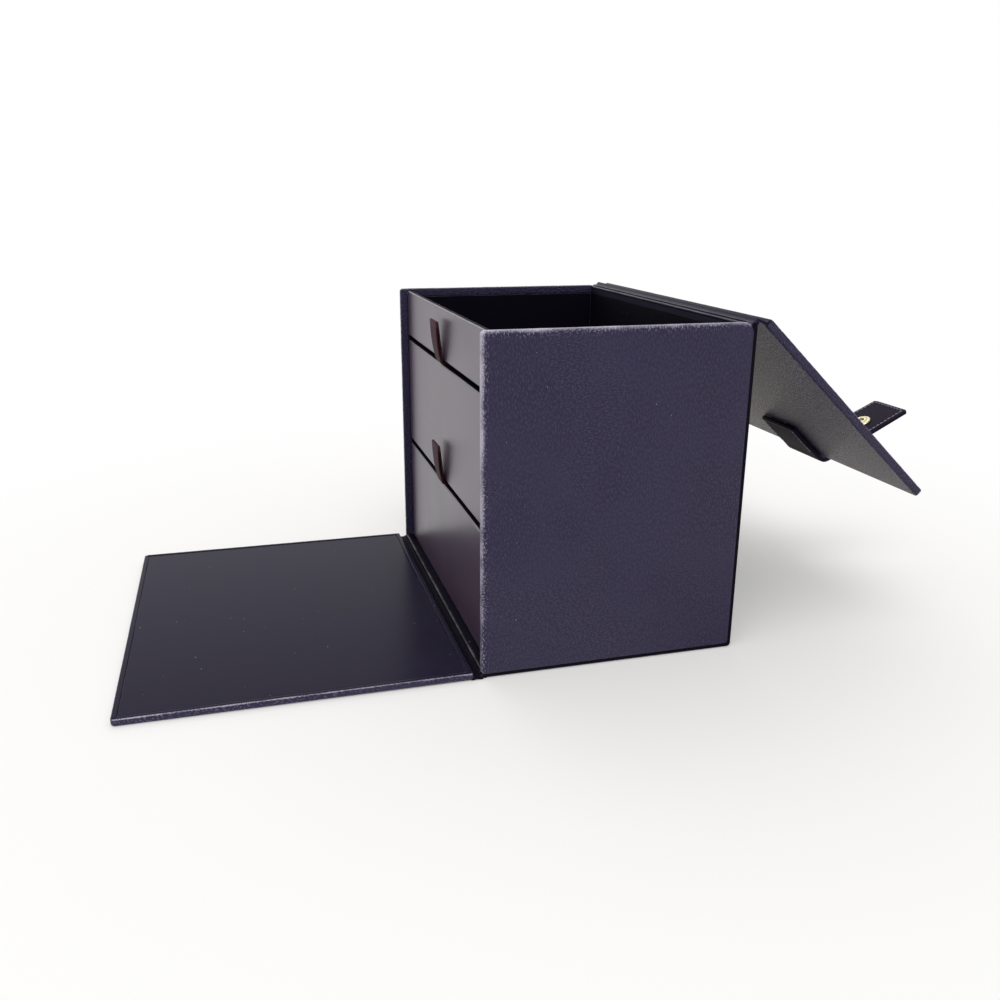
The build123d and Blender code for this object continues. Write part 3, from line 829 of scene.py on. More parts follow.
def strip_section(half_width, thick, edge):
    """Closed section of a two-layer strip: across, off its middle, and wear; a seam runs round its edge."""
    inner = half_width - edge * 1.6
    upper_side = [
        (inner, thick, 0.1), (half_width - edge * 0.6, thick * 0.94, 0.6),
        (half_width - edge * 0.1, thick * 0.62, 0.7), (half_width, thick * 0.3, 0.3),
    ]
    lower_side = [(across, -off, wear) for across, off, wear in reversed(upper_side)]
    side = upper_side + [(half_width - edge * 0.55, 0.0, 0.0)] + lower_side
    lower = [(inner * share, -thick, 0.0) for share in (0.75, 0.5, 0.25, 0.0, -0.25, -0.5, -0.75)]
    half = side + lower
    return half + [(-across, -off, wear) for across, off, wear in half]


def offsets_from(y, z):
    """Gives places in the YZ plane by how far they are behind and above a point, in millimetres."""
    return lambda behind, above: Vector((0, y + behind * MM, z + above * MM))


def on_strip(along, off):
    """A place on the hinge strip, in millimetres along it from the lower crease and off its middle."""
    run = (UPPER_CREASE - LOWER_CREASE).normalized()
    square = Vector((0, -run.z, run.y))
    return LOWER_CREASE + run * along * MM + square * off * MM


def on_lid(angle, along, off):
    """A place on the lid, in millimetres along it from the upper crease and inwards from there."""
    return UPPER_CREASE + turned(angle) * along * MM + turned(angle + 90) * off * MM


# Operators


class JEWELBOX_OT_finishes(bpy.types.Operator):
    """Make the leather, lining, thread and metal materials"""

    bl_idname = "jewelbox.finishes"
    bl_label = "Finishes"

    def execute(self, context):
        make_finishes(context.scene.jewel_box_colours)
        return {"FINISHED"}


class JEWELBOX_OT_walls(bpy.types.Operator):
    """Wrap the two side walls in leather and line them"""

    bl_idname = "jewelbox.walls"
    bl_label = "Side walls"

    LINING_ROUND = 0.00022
    # Wear of each side, first and last: most on the right wall's front and top edges, little on the left
    # wall; partly rubbing, partly painted highlight on the lit edges, less on the left wall in shade
    RUBBED = {
        "right": ((0.7, 1.0), (0.1, 0.25), (0.18, 0.05), (0.95, 0.65)),
        "left": ((0.2, 0.3), (0.2, 0.2), (0.1, 0.1), (0.4, 0.35)),
    }

    def execute(self, context):
        sizes = context.scene.jewel_box_sizes
        lap = sizes.wall_lap
        corners = (sizes.wall_corner, sizes.wall_corner, sizes.wall_back_corner, sizes.wall_corner)
        for side, into in (("right", -RIGHT), ("left", RIGHT)):
            low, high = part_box(side + "_wall_leather")
            matrix = placed(RIGHT * (high.x if side == "right" else low.x), BACKWARD, UP, into)
            outline = Outline((low.y, low.z - lap), (high.y + lap, high.z), corners)
            cover = leather_panel(
                side + "_wall_cover", outline, high.x - low.x, sizes.wall_round, sizes.wall_rim, matrix,
                sizes, self.RUBBED[side],
            )
            dress(cover, "leather", "case", (side + "_wall_leather",))
            # The inner sheet gets the darkened lining: painted shade on the inside of the wall
            low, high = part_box(side + "_wall_lining")
            matrix = placed(RIGHT * (low.x if side == "right" else high.x), BACKWARD, UP, -into)
            sheet_piece(
                side + "_wall_inner_sheet", (low.y, low.z), (high.y + lap, high.z), TIGHT_CORNER,
                high.x - low.x, self.LINING_ROUND, matrix, "interior", "case", (side + "_wall_lining",),
            )
        return {"FINISHED"}


class JEWELBOX_OT_case(bpy.types.Operator):
    """Wrap the base and back board in one sheet of leather and fit the boards inside"""

    bl_idname = "jewelbox.case"
    bl_label = "Case"

    BEND = 0.0022
    BEND_STEPS = 6
    LINE_STEPS = 110
    TURN_IN = 0.0055
    LAST_INSET = 0.012
    FRONT_GAP = 0.0012
    WEAR = 0.3
    # The compartment's back and floor linings get the darkened lining: painted shade inside the compartment
    BOARDS = (
        ("inner_back_board", 0.0005, "covered", 1), ("compartment_back_lining", 0.0002, "interior", 1),
        ("compartment_shelf", 0.0006, "covered", 2), ("compartment_floor_lining", 0.0002, "interior", 2),
        ("drawer_shelf", 0.0006, "covered", 2),
    )

    def execute(self, context):
        sizes = context.scene.jewel_box_sizes
        base_low, base_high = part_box("base_leather")
        _, back_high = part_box("back_leather")
        half = base_high.x - sizes.case_tuck
        thickness = base_high.z - base_low.z
        stations = wrap_stations(thickness, sizes.case_round, sizes.rim_round, self.TURN_IN, sizes.leather)
        stations = [s for s in stations if s.inset < self.LAST_INSET]
        across = [(-1, s) for s in reversed(stations)] + [(1, s) for s in stations]
        rows = []
        for side, station in across:
            row = []
            for y, z, run in self.bent_line(base_low.y + self.FRONT_GAP, back_high, station.depth):
                push = sizes.grain_relief * station.wear * unevenness(0.0012, station.reach, run, side)
                place = Vector((side * (half - station.inset + station.out * push), y, z))
                row.append((place, (side * (half + station.reach), run), station.wear * self.WEAR))
            rows.append(row)
        # The cover's side faces at the ends of base and back get the darkened lining: painted shade in the
        # crevice under the walls
        dark = [station.out > 0.6 for _, station in across]
        cover = mesh_of_rows(
            "case_cover", rows, False, NO_END, BOTH_ENDS,
            lambda row, step: 1 if dark[row] and dark[row + 1] else 0,
        )
        nodes = ("base_leather", "back_leather", "base_core", "back_core")
        dress(cover, "leather", "case", nodes, "interior")
        self.front_edge(base_low.y, base_high.z, half)
        for node, rounding, finish, facing in self.BOARDS:
            board_piece(node, rounding, finish, "case", facing)
        return {"FINISHED"}

    def bent_line(self, front, corner, depth):
        """Line under the base and up the back at a depth below the outer face: Y, Z and the run."""
        start = max(self.BEND, depth)
        foot = corner.y - start
        shares = [step / self.LINE_STEPS for step in range(self.LINE_STEPS + 1)]
        points = []
        for share in shares:
            y = front + (foot - front) * share
            points.append((y, depth, y))
        radius = max(self.BEND - depth, 0.0)
        for angle in quarter_turn(self.BEND_STEPS)[1:-1]:
            y = foot + radius * math.sin(angle)
            z = depth + radius - radius * math.cos(angle)
            points.append((y, z, corner.y - self.BEND + self.BEND * angle))
        for share in shares:
            z = start + (corner.z - start) * share
            points.append((corner.y - depth, z, corner.y + z))
        return points

    @staticmethod
    def front_edge(front, top, half):
        """Leather round the base's front edge and onto its top, in front of the bottom drawer; it gets the
        darkened lining, painted shade in the groove, and its top front corner the most edge wear, partly a
        painted highlight.
        """
        foot = offsets_from(front, 0)
        head = offsets_from(front, top)
        inner = offsets_from(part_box("base_lining")[0].y, top)
        section = [
            (0.0, foot(3.0, 0.0)), (0.1, foot(1.3, 0.0)), (0.2, foot(0.4, 0.35)), (0.1, foot(0.0, 1.2)),
            (0.1, head(0.0, -1.0)), (1.0, head(0.25, -0.25)), (0.6, head(0.9, 0.0)), (0.1, head(2.4, 0.0)),
            (0.1, inner(-0.9, 0.0)), (0.2, inner(-0.35, -0.1)), (0.0, inner(-0.2, -0.5)),
            (0.0, inner(-0.6, -1.0)), (0.0, head(3.0, -1.4)),
        ]
        closed_piece("base_front_edge", ribbon_rows(section, half, SHEET_SWAY, 3.3), "interior", "case")


class JEWELBOX_OT_flap(bpy.types.Operator):
    """Wrap and line the fold-down flap, hinge it and set its stud"""

    bl_idname = "jewelbox.flap"
    bl_label = "Front flap"

    RUBBED = ((0.25, 0.25), (0.75, 0.6), (0.3, 0.35), (0.25, 0.25))
    WELL_GAP = 0.0003
    WELL_STEPS = 64
    WELL_RINGS = ((0.0008, 0.0, 0.1), (0.0002, 0.0002, 0.6), (0, 0.0006, 0.3), (0, 0.0016, 0.0))
    HINGE_SWAY = 0.00012
    HINGE_END_GAP = 0.0001
    BEND_START = 0.0012
    BEND_END = 0.0011

    def execute(self, context):
        sizes = context.scene.jewel_box_sizes
        low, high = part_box("flap_leather")
        corners = (sizes.corner, sizes.corner, TIGHT_CORNER, TIGHT_CORNER)
        outline = Outline((low.x, low.y), (high.x, high.y), corners)
        cover = leather_panel(
            "flap_cover", outline, high.z - low.z, sizes.case_round, sizes.case_rim,
            placed(UP * low.z, RIGHT, BACKWARD, UP), sizes, self.RUBBED, False, 1, LID_WEAR,
        )
        self.open_well(cover, len(outline.ring(0)))
        dress(cover, "leather", "front_flap", ("flap_leather",), "lining")
        low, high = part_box("flap_lining")
        sheet_piece(
            "flap_inner_sheet", (low.x, low.y), (high.x, high.y), SHEET_CORNER, high.z - low.z, SHEET_ROUND,
            placed(UP * high.z, RIGHT, BACKWARD, -UP), "lining", "front_flap", ("flap_lining",),
        )
        self.hinge()
        self.stud()
        return {"FINISHED"}

    def open_well(self, cover, ring_count):
        """Closes the flap's outer face round the well that holds the stud."""
        low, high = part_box("snap_stud")
        middle = (low.y + high.y) / 2
        radius = (high.x - low.x) / 2 + self.WELL_GAP
        bm = bmesh.new()
        bm.from_mesh(cover.data)
        bm.verts.ensure_lookup_table()
        skin_layer = bm.loops.layers.uv["skin"]
        wear_layer = bm.verts.layers.float["wear"]
        border = [e for e in bm.edges if e.is_boundary and all(v.index < ring_count for v in e.verts)]
        rings = []
        for gap, depth, wear in self.WELL_RINGS:
            ring = []
            for cosine, sine in circle(self.WELL_STEPS):
                vert = bm.verts.new(((radius + gap) * cosine, middle + (radius + gap) * sine, depth))
                vert[wear_layer] = wear
                ring.append(vert)
            rings.append(ring)
        bridge(bm, rings)
        mouth = [e for e in bm.edges if e.is_boundary and all(v in rings[0] for v in e.verts)]
        bmesh.ops.triangle_fill(bm, use_beauty=True, edges=border + mouth)

        def skin_of(loop):
            skin = loop[skin_layer].uv
            return skin if skin.length else (loop.vert.co.x, loop.vert.co.y)

        write_mesh(bm, cover.data, skin_of)

    def hinge(self):
        """Folded leather between the base and the flap; it gets the darkened lining, painted shade in the
        groove, with edge wear along its rims that is partly a painted highlight.
        """
        base_low, base_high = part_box("base_leather")
        base = offsets_from(base_low.y, 0)
        flap = offsets_from(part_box("flap_leather")[1].y, 0)
        section = [
            (0.6, base(0.3, 2.0)), (0.3, base(-0.35, 1.75)), (0.1, base(-0.8, 1.35)),
            (0.05, base(-1.9, 1.2)), (0.1, flap(1.1, 1.3)), (0.4, flap(0.4, 1.75)),
            (0.6, flap(-0.3, 2.3)), (0.1, flap(-1.2, 2.0)), (0.0, flap(-1.6, 0.8)),
            (0.2, flap(-1.2, 0.06)), (0.1, flap(0.0, 0.05)), (0.1, base(-2.2, 0.1)),
            (0.1, base(-0.6, 0.05)), (0.2, base(0.9, 0.06)), (0.0, base(1.2, 1.0)),
        ]
        rows = ribbon_rows(section, base_high.x - self.HINGE_END_GAP, self.HINGE_SWAY, 1.7)
        fold = closed_piece("flap_hinge_fold", rows, "interior", None, ("flap_hinge_leather",))
        start = FLAP_LINE + BACKWARD * self.BEND_START
        end = FLAP_LINE - BACKWARD * self.BEND_END
        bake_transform(fold, "case", "front_flap", start=start, end=end)

    @staticmethod
    def stud():
        """Stud of the snap, let into the flap's outer face."""
        low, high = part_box("snap_stud")
        matrix = placed(BACKWARD * ((low.y + high.y) / 2), RIGHT, BACKWARD, UP)
        plate = (high.x - low.x) / 2
        profile = [
            (0.0002, 0.00010), (0.0012, 0.00010), (0.0018, 0.00025), (0.0020, 0.00050), (0.0017, 0.00085),
            (0.0017, 0.00110), (0.0022, 0.00130), (0.0034, 0.00138), (0.0052, 0.00120), (0.0064, 0.00115),
            (plate - 0.0002, 0.00128), (plate, 0.00150), (plate - 0.0004, 0.00190), (0.0016, 0.00190),
            (0.0015, high.z),
        ]
        rows = turned_rows(profile, matrix)
        closed_piece("snap_stud_turned", rows, "brass", "front_flap", ("snap_stud",))


class JEWELBOX_OT_lid(bpy.types.Operator):
    """Wrap and line the lid and fold its hinge"""

    bl_idname = "jewelbox.lid"
    bl_label = "Lid"

    RUBBED = ((0.3, 0.3), (0.45, 0.45), (0.2, 0.2), (0.35, 0.35))
    HINGE_GAP = 0.0018
    HEM_STEPS = 120
    HEM_SWAY = 0.00005
    LINED_POINTS = 9
    TUCK_SHARE = 0.6
    CREASE_END_GAP = 0.0002
    BACK_BEND = (0.00035, 0.0012)
    LID_BEND = (0.0007, 0.0009)

    def execute(self, context):
        sizes = context.scene.jewel_box_sizes
        angle = math.degrees(sizes.lid_angle)
        along = turned(angle)
        inward = turned(angle + 90)
        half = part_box("lid_leather")[1].x
        _, free, outer, inner = self.reach_of("lid_leather", along, inward)
        corners = (TIGHT_CORNER, TIGHT_CORNER, sizes.corner, sizes.corner)
        outline = Outline((-half, self.HINGE_GAP), (half, free), corners)
        matrix = placed(UPPER_CREASE + inward * outer, RIGHT, along, inward)
        cover = leather_panel(
            "lid_cover", outline, inner - outer, sizes.case_round, sizes.case_rim, matrix, sizes,
            self.RUBBED, True, 1, LID_WEAR,
        )
        dress(cover, "leather", "lid", ("lid_leather",), "lining")
        near, free, outer, inner = self.reach_of("lid_lining", along, inward)
        lining_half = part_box("lid_lining")[1].x
        sheet_piece(
            "lid_inner_sheet", (-lining_half, near), (lining_half, free), SHEET_CORNER, inner - outer,
            SHEET_ROUND, placed(UPPER_CREASE + inward * inner, RIGHT, along, -inward), "lining", "lid",
            ("lid_lining",),
        )
        self.back_crease(half - sizes.case_tuck * self.TUCK_SHARE)
        self.lid_crease(angle, half - self.CREASE_END_GAP)
        return {"FINISHED"}

    @staticmethod
    def reach_of(node, along, inward):
        """How far a node reaches from the upper crease: least and most along the lid, then inwards."""
        offsets = [v.co - UPPER_CREASE for v in frame["nodes"][node].data.vertices]
        runs = [offset.dot(along) for offset in offsets]
        depths = [offset.dot(inward) for offset in offsets]
        return min(runs), max(runs), min(depths), max(depths)

    def lined(self, row, step):
        """Finish round a fold: lining inside, leather outside."""
        return 0 if step < self.LINED_POINTS * CURVE_PARTS else 1

    def back_crease(self, half):
        """Fold between the back board and the narrow strip, and the hem over the inner back board."""
        inner_low, inner_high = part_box("inner_back_board")
        face = offsets_from(inner_low.y, inner_high.z)
        # The hem's wear along its inner edge gives thin pale lines, partly a painted highlight
        hem = [
            (0.0, face(-0.15, -0.9)), (0.5, face(-0.17, -0.1)), (0.8, face(0.05, 0.28)),
            (0.3, face(0.5, 0.4)), (0.1, face(1.9, 0.42)), (0.2, face(2.5, 0.4)),
            (0.0, face(2.5, -0.3)), (0.0, face(0.3, -0.3)), (0.0, face(0.2, -0.9)),
        ]
        rows = ribbon_rows(hem, inner_high.x, self.HEM_SWAY, 4.2, self.HEM_STEPS)
        closed_piece("inner_back_hem", rows, "lining", "case")
        back_low, back_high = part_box("back_leather")
        inner = offsets_from(back_low.y, back_high.z)
        outer = offsets_from(back_high.y, back_high.z)
        section = [
            (0.1, inner(0.05, -0.4)), (0.7, inner(0.15, 0.05)), (0.5, inner(0.5, 0.18)),
            (0.1, inner(1.2, 0.18)), (0.05, inner(2.0, 0.22)), (0.05, inner(2.8, 0.75)),
            (0.1, on_strip(-0.2, 0.95)), (0.1, on_strip(0.5, 1.02)), (0.05, on_strip(1.2, 1.0)),
            (0.0, on_strip(1.9, 1.0)), (0.0, on_strip(1.9, -0.4)), (0.1, on_strip(1.2, -0.42)),
            (0.2, on_strip(0.7, -0.46)), (0.3, outer(0.05, 0.3)), (0.2, outer(0.03, -0.6)),
            (0.0, outer(-0.3, -1.2)), (0.0, outer(-1.6, -0.8)), (0.0, inner(0.8, -0.8)),
        ]
        rows = ribbon_rows(section, half, FOLD_SWAY, 9.4)
        nodes = ("lid_hinge_lower", "strip_leather", "strip_core", "strip_lining")
        fold = closed_piece(
            "back_crease_fold", rows, "lining", None, nodes, "leather", face_finish=self.lined
        )
        start, end = (LOWER_CREASE + BACKWARD * reach for reach in self.BACK_BEND)
        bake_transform(fold, "case", "lid_strip", start=start, end=end)

    def lid_crease(self, angle, half):
        """Fold between the narrow strip and the lid."""
        strip = UPPER_CREASE - LOWER_CREASE
        top = strip.length / MM
        lid = partial(on_lid, angle)
        section = [
            (0.0, on_strip(1.7, 1.0)), (0.05, on_strip(top - 0.9, 1.0)), (0.05, on_strip(top - 0.3, 1.05)),
            (0.1, lid(0.6, 1.3)), (0.1, lid(1.2, 1.9)), (0.15, lid(1.5, 2.8)), (0.4, lid(1.62, 3.7)),
            (0.9, lid(1.95, 4.12)), (0.4, lid(2.7, 4.2)), (0.1, lid(4.6, 4.14)), (0.0, lid(4.8, 3.6)),
            (0.0, lid(2.6, 3.4)), (0.0, lid(2.4, 0.6)), (0.0, lid(4.4, 0.3)), (0.0, lid(5.0, -0.3)),
            (0.1, lid(3.4, -0.43)), (0.1, lid(1.6, -0.46)), (0.1, lid(0.4, -0.46)),
            (0.1, on_strip(top - 0.4, -0.45)), (0.1, on_strip(top - 0.9, -0.42)),
            (0.0, on_strip(1.7, -0.4)),
        ]
        rows = ribbon_rows(section, half, FOLD_SWAY, 12.8)
        nodes = ("lid_hinge_upper",)
        fold = closed_piece(
            "lid_crease_fold", rows, "lining", None, nodes, "leather", face_finish=self.lined
        )
        middle = (strip.normalized() + turned(angle)).normalized()
        start = UPPER_CREASE - middle * self.LID_BEND[0]
        end = UPPER_CREASE + middle * self.LID_BEND[1]
        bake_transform(fold, "lid_strip", "lid", start=start, end=end)


class JEWELBOX_OT_fronts(bpy.types.Operator):
    """Cover the compartment front and the two drawer fronts in satin"""

    bl_idname = "jewelbox.fronts"
    bl_label = "Fronts"

    CORNER = 0.0009
    BACK_ROUND = 0.0005
    PITCH = 0.002
    RELIEF = 0.00002
    SWAY = 0.0001
    SATIN_ROWS = 6
    FRONTS = (
        ("compartment_front", "case"), ("middle_drawer_front", "middle_drawer"),
        ("bottom_drawer_front", "bottom_drawer"),
    )

    def execute(self, context):
        sizes = context.scene.jewel_box_sizes
        for name, body in self.FRONTS:
            low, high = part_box(name + "_cover")
            matrix = placed(BACKWARD * low.y, RIGHT, UP, BACKWARD)
            outline = Outline((low.x, low.z), (high.x, high.z), (self.CORNER,) * 4, self.PITCH)
            stations = slab_stations(high.y - low.y, sizes.front_round, self.BACK_ROUND)
            rows = flat_rows(outline, stations, matrix, self.RELIEF, self.SWAY)
            # Satin on the face and most of the rounded edge; the rest of the edge, the sides in the gaps and
            # the back get the darkened lining, painted shade in the gaps
            closed_piece(
                name + "_sheet", rows, "satin", body, (name + "_cover", name + "_core"), "interior",
                face_finish=lambda row, step: 0 if row < self.SATIN_ROWS else 1,
            )
        return {"FINISHED"}


class JEWELBOX_OT_drawers(bpy.types.Operator):
    """Make the boxes of the two drawers"""

    bl_idname = "jewelbox.drawers"
    bl_label = "Drawer boxes"

    BOARDS = (
        ("_left_side", 0.0005, "covered", 0), ("_right_side", 0.0005, "covered", 0),
        ("_back", 0.0005, "covered", 1), ("_bottom", 0.0004, "covered", 2),
        ("_floor_lining", 0.0002, "lining", 2),
    )

    def execute(self, context):
        for drawer in ("middle_drawer", "bottom_drawer"):
            for part, rounding, finish, facing in self.BOARDS:
                board_piece(drawer + part, rounding, finish, drawer, facing)
        return {"FINISHED"}


class JEWELBOX_OT_tabs(bpy.types.Operator):
    """Make the two leather pull tabs"""

    bl_idname = "jewelbox.tabs"
    bl_label = "Pull tabs"

    LEAN = 8.0
    LENGTH = 0.0232
    START = 0.0016
    HALF_THICKNESS = 0.00045
    EDGE = 0.0003
    ROOT_WIDTH = 0.74
    LAYER_STEPS = 20
    BEND_STEPS = 10
    ROOT = (
        (4.9, -6.0), (4.8, -1.0), (4.4, 0.6), (3.3, 1.4), (2.0, 1.6), (1.0, 1.7), (0.3, 2.0), (-0.1, 2.5),
        (-0.2, 3.1),
    )

    def execute(self, context):
        for drawer, tab in (("middle_drawer", "middle_tab"), ("bottom_drawer", "bottom_tab")):
            fold = joint_place(tab + "_fold")
            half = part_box(drawer + "_tab")[1].x
            over_front = offsets_from(fold.y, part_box(drawer + "_front_cover")[1].z)
            rows = self.strip_rows(self.loop_line(fold), fold, half)
            free = closed_piece(tab + "_free", rows, "tab", tab, (drawer + "_tab",))
            if tab == "bottom_tab":
                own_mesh(free)
            rows = self.strip_rows([over_front(*offset) for offset in self.ROOT], fold, half)
            closed_piece(tab + "_root", rows, "tab", drawer, (drawer + "_tab_root",))
        return {"FINISHED"}

    def loop_line(self, fold):
        """Middle line of the folded loop: up its front layer, over the top and down its back layer."""
        along = turned(90 + self.LEAN)
        toward = turned(self.LEAN)
        front = []
        back = []
        for step in range(self.LAYER_STEPS + 1):
            share = step / self.LAYER_STEPS
            belly = math.sin(math.pi * share ** 0.85)
            rise = fold + along * (self.START + self.LENGTH * share)
            front.append(rise - toward * (0.00024 + 0.00002 * share + 0.00085 * belly))
            back.append(rise + toward * (0.00022 + 0.00024 * share))
        top = (front[-1] + back[-1]) / 2
        reach = (front[-1] - back[-1]).length / 2
        bend = []
        for step in range(1, self.BEND_STEPS):
            angle = math.pi * step / self.BEND_STEPS
            bend.append(top - toward * reach * math.cos(angle) + along * reach * 0.7 * math.sin(angle))
        return front + bend + back[::-1]

    def strip_rows(self, line, fold, half_width):
        """Rows of a leather strip along a middle line; it widens with its height over the fold."""
        rows = []
        for place, run, normal in along_line(line):
            share = min(1.0, max(0.0, (place - fold).z / self.LENGTH))
            width = half_width * (self.ROOT_WIDTH + (1 - self.ROOT_WIDTH) * share)
            # The top of the loop gets extra wear, partly a painted highlight on the tab's top
            worn = 0.5 if share > 0.95 else 0.0
            rows.append([
                (place + RIGHT * across - normal * off, (across, run + off), wear * 0.5 + worn)
                for across, off, wear in strip_section(width, self.HALF_THICKNESS, self.EDGE)
            ])
        return rows


class JEWELBOX_OT_strap(bpy.types.Operator):
    """Make the sewn strap with its seam and the snap's two halves"""

    bl_idname = "jewelbox.strap"
    bl_label = "Strap and snap"

    ROOT = 0.0300
    BEND = 0.0049
    REACH = 0.0696
    SNAP = 0.0449
    OUT_ANGLE = -64.0
    EDGE = 0.0006
    END_ROUND = 0.0015
    END_THIN = 0.0008
    SOFT_BEND = 0.0025
    ROOT_LIFT = 0.0004
    ROOT_SUNK = 0.0001
    BEND_GAP = 0.0012
    ROOT_STEPS = 24
    TONGUE_STEPS = 50
    SOCKET = (
        (0.0001, 0.0000), (0.0063, 0.0000), (0.0065, 0.0002), (0.0065, 0.0006), (0.0063, 0.0009),
        (0.0058, 0.0011), (0.0050, 0.0012), (0.0044, 0.0014), (0.0040, 0.0018), (0.0036, 0.0019),
        (0.0030, 0.0019), (0.0026, 0.0017), (0.0024, 0.0012), (0.0024, 0.0004), (0.0001, 0.0003),
    )
    CAP = (
        (0.0001, 0.0000), (0.0060, 0.0000), (0.0062, 0.0002), (0.0061, 0.0004), (0.0056, 0.0006),
        (0.0045, 0.00075), (0.0030, 0.00085), (0.0001, 0.0009),
    )

    def execute(self, context):
        sizes = context.scene.jewel_box_sizes
        lid_angle = math.degrees(sizes.lid_angle)
        self.lid_run = turned(lid_angle)
        self.lid_out = -turned(lid_angle + 90)
        self.out = turned(self.OUT_ANGLE)
        self.tip_run = turned(self.OUT_ANGLE + 90)
        line = self.middle_line()
        total = sum((b - a).length for a, b in zip(line, line[1:]))
        rows = []
        for place, run, normal in along_line(line):
            width = self.half_width(sizes, run, total)
            thick = sizes.strap_thickness / 2
            for end in (total - run, run):
                if end < self.END_ROUND:
                    width -= self.END_ROUND * (1 - self.rounding(end / self.END_ROUND))
                if end < self.END_THIN:
                    thick *= 0.55 + 0.45 * self.rounding(end / self.END_THIN)
            rows.append([
                (place + RIGHT * across + normal * off, (across, run + off), wear)
                for across, off, wear in strip_section(width, thick, self.EDGE)
            ])
        nodes = ("strap_root", "strap_inner", "strap_outer")
        strap = closed_piece("strap_sewn", rows, "strap", None, nodes)
        self.seam(sizes, total)
        place = STRAP_LINE + self.tip_run * self.SNAP
        for name, profile, side in (("snap_socket", self.SOCKET, -1), ("snap_cap", self.CAP, 1)):
            surface = place + self.out * (self.BEND + side * sizes.strap_thickness / 2)
            rows = turned_rows(profile, placed(surface, RIGHT, self.tip_run, self.out * side))
            closed_piece(name + "_turned", rows, "brass", "strap", (name,))
        start = STRAP_LINE - self.lid_run * self.SOFT_BEND
        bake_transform(strap, "lid", "strap", start=start, end=STRAP_LINE + self.out * self.SOFT_BEND)
        return {"FINISHED"}

    @staticmethod
    def rounding(share):
        """Height of a quarter circle over its share of the way in from the end."""
        return math.sqrt(max(0.0, 1 - (1 - share) ** 2))

    def middle_line(self):
        """Middle line: glued along the lid's outer face, round its free edge and out to the tip."""
        root = STRAP_LINE - self.lid_out * self.ROOT_SUNK
        points = []
        for step in range(self.ROOT_STEPS + 1):
            share = step / self.ROOT_STEPS
            lift = self.ROOT_LIFT * math.sin(math.pi * share)
            back = self.ROOT * (1 - share) + self.BEND_GAP * share
            points.append(root - self.lid_run * back + self.lid_out * lift)
        centre = STRAP_LINE + self.tip_run * self.BEND
        for angle in quarter_turn(12)[2:]:
            points.append(
                centre - self.tip_run * self.BEND * math.cos(angle) + self.out * self.BEND * math.sin(angle)
            )
        length = self.REACH - self.BEND
        for step in range(1, self.TONGUE_STEPS + 1):
            points.append(centre + self.out * self.BEND + self.tip_run * length * step / self.TONGUE_STEPS)
        for _ in range(6):
            points = [points[0]] + [
                (a + b * 2 + c) / 4 if 20 < i < 40 else b
                for i, (a, b, c) in enumerate(zip(points, points[1:], points[2:]))
            ] + [points[-1]]
        return points

    def half_width(self, sizes, run, total):
        """Half the strap's width at a length along it."""
        share = min(1.0, max(0.0, (run - self.ROOT) / (total - self.ROOT)))
        return (sizes.strap_width * (1 - share) + sizes.strap_tip_width * share) / 2

    def seam(self, sizes, total):
        """Stitches along the edges of the tongue, on both faces, and round the root's outer face."""
        tongue = []
        root = []
        pitch = sizes.stitch_pitch
        inset = sizes.stitch_inset
        half_thick = sizes.strap_thickness / 2
        straight = self.REACH - self.BEND
        corner_run = straight - inset
        origin = STRAP_LINE + self.tip_run * self.BEND + self.out * self.BEND
        for face in (-1, 1):
            off = self.out * face
            level = origin + off * half_thick
            for side in (-1, 1):
                for index in range(int((corner_run - 0.002) / pitch)):
                    along = corner_run - pitch * (index + 0.5)
                    across = side * (self.half_width(sizes, total - straight + along, total) - inset)
                    tongue.append((level + self.tip_run * along + RIGHT * across, self.tip_run, off))
            for across in self.spaced(sizes.strap_tip_width / 2 - inset, pitch):
                tongue.append((level + self.tip_run * corner_run + RIGHT * across, RIGHT, off))
        half = sizes.strap_width / 2 - inset
        level = STRAP_LINE - self.lid_run * self.ROOT + self.lid_out * (half_thick - self.ROOT_SUNK)
        for side in (-1, 1):
            for index in range(int((self.ROOT - 0.007) / pitch)):
                along = inset + pitch * (index + 0.5)
                lift = self.lid_out * self.ROOT_LIFT * math.sin(math.pi * along / self.ROOT)
                place = level + self.lid_run * along + RIGHT * side * half + lift
                root.append((place, self.lid_run, self.lid_out))
        for across in self.spaced(half, pitch):
            root.append((level + self.lid_run * inset + RIGHT * across, RIGHT, self.lid_out))
        dress(self.stitches("strap_seam", tongue, pitch), "thread", "strap", ("strap_stitches",))
        dress(self.stitches("strap_root_seam", root, pitch), "thread", "lid")

    @staticmethod
    def spaced(half, pitch):
        """Middles of the stitches that fill a row from one side to the other."""
        count = round(2 * half / pitch)
        return [-half + 2 * half * (index + 0.5) / count for index in range(count)]

    STITCH_RINGS = (
        (-1.0, 0.15), (-0.9, 0.7), (-0.55, 1.0), (0.0, 1.06), (0.55, 1.0), (0.9, 0.7), (1.0, 0.15),
    )
    STITCH_SHARE = 0.41
    STITCH_HALF_WIDTH = 0.00030
    STITCH_RISE = 0.00010
    STITCH_DIP = 0.00016

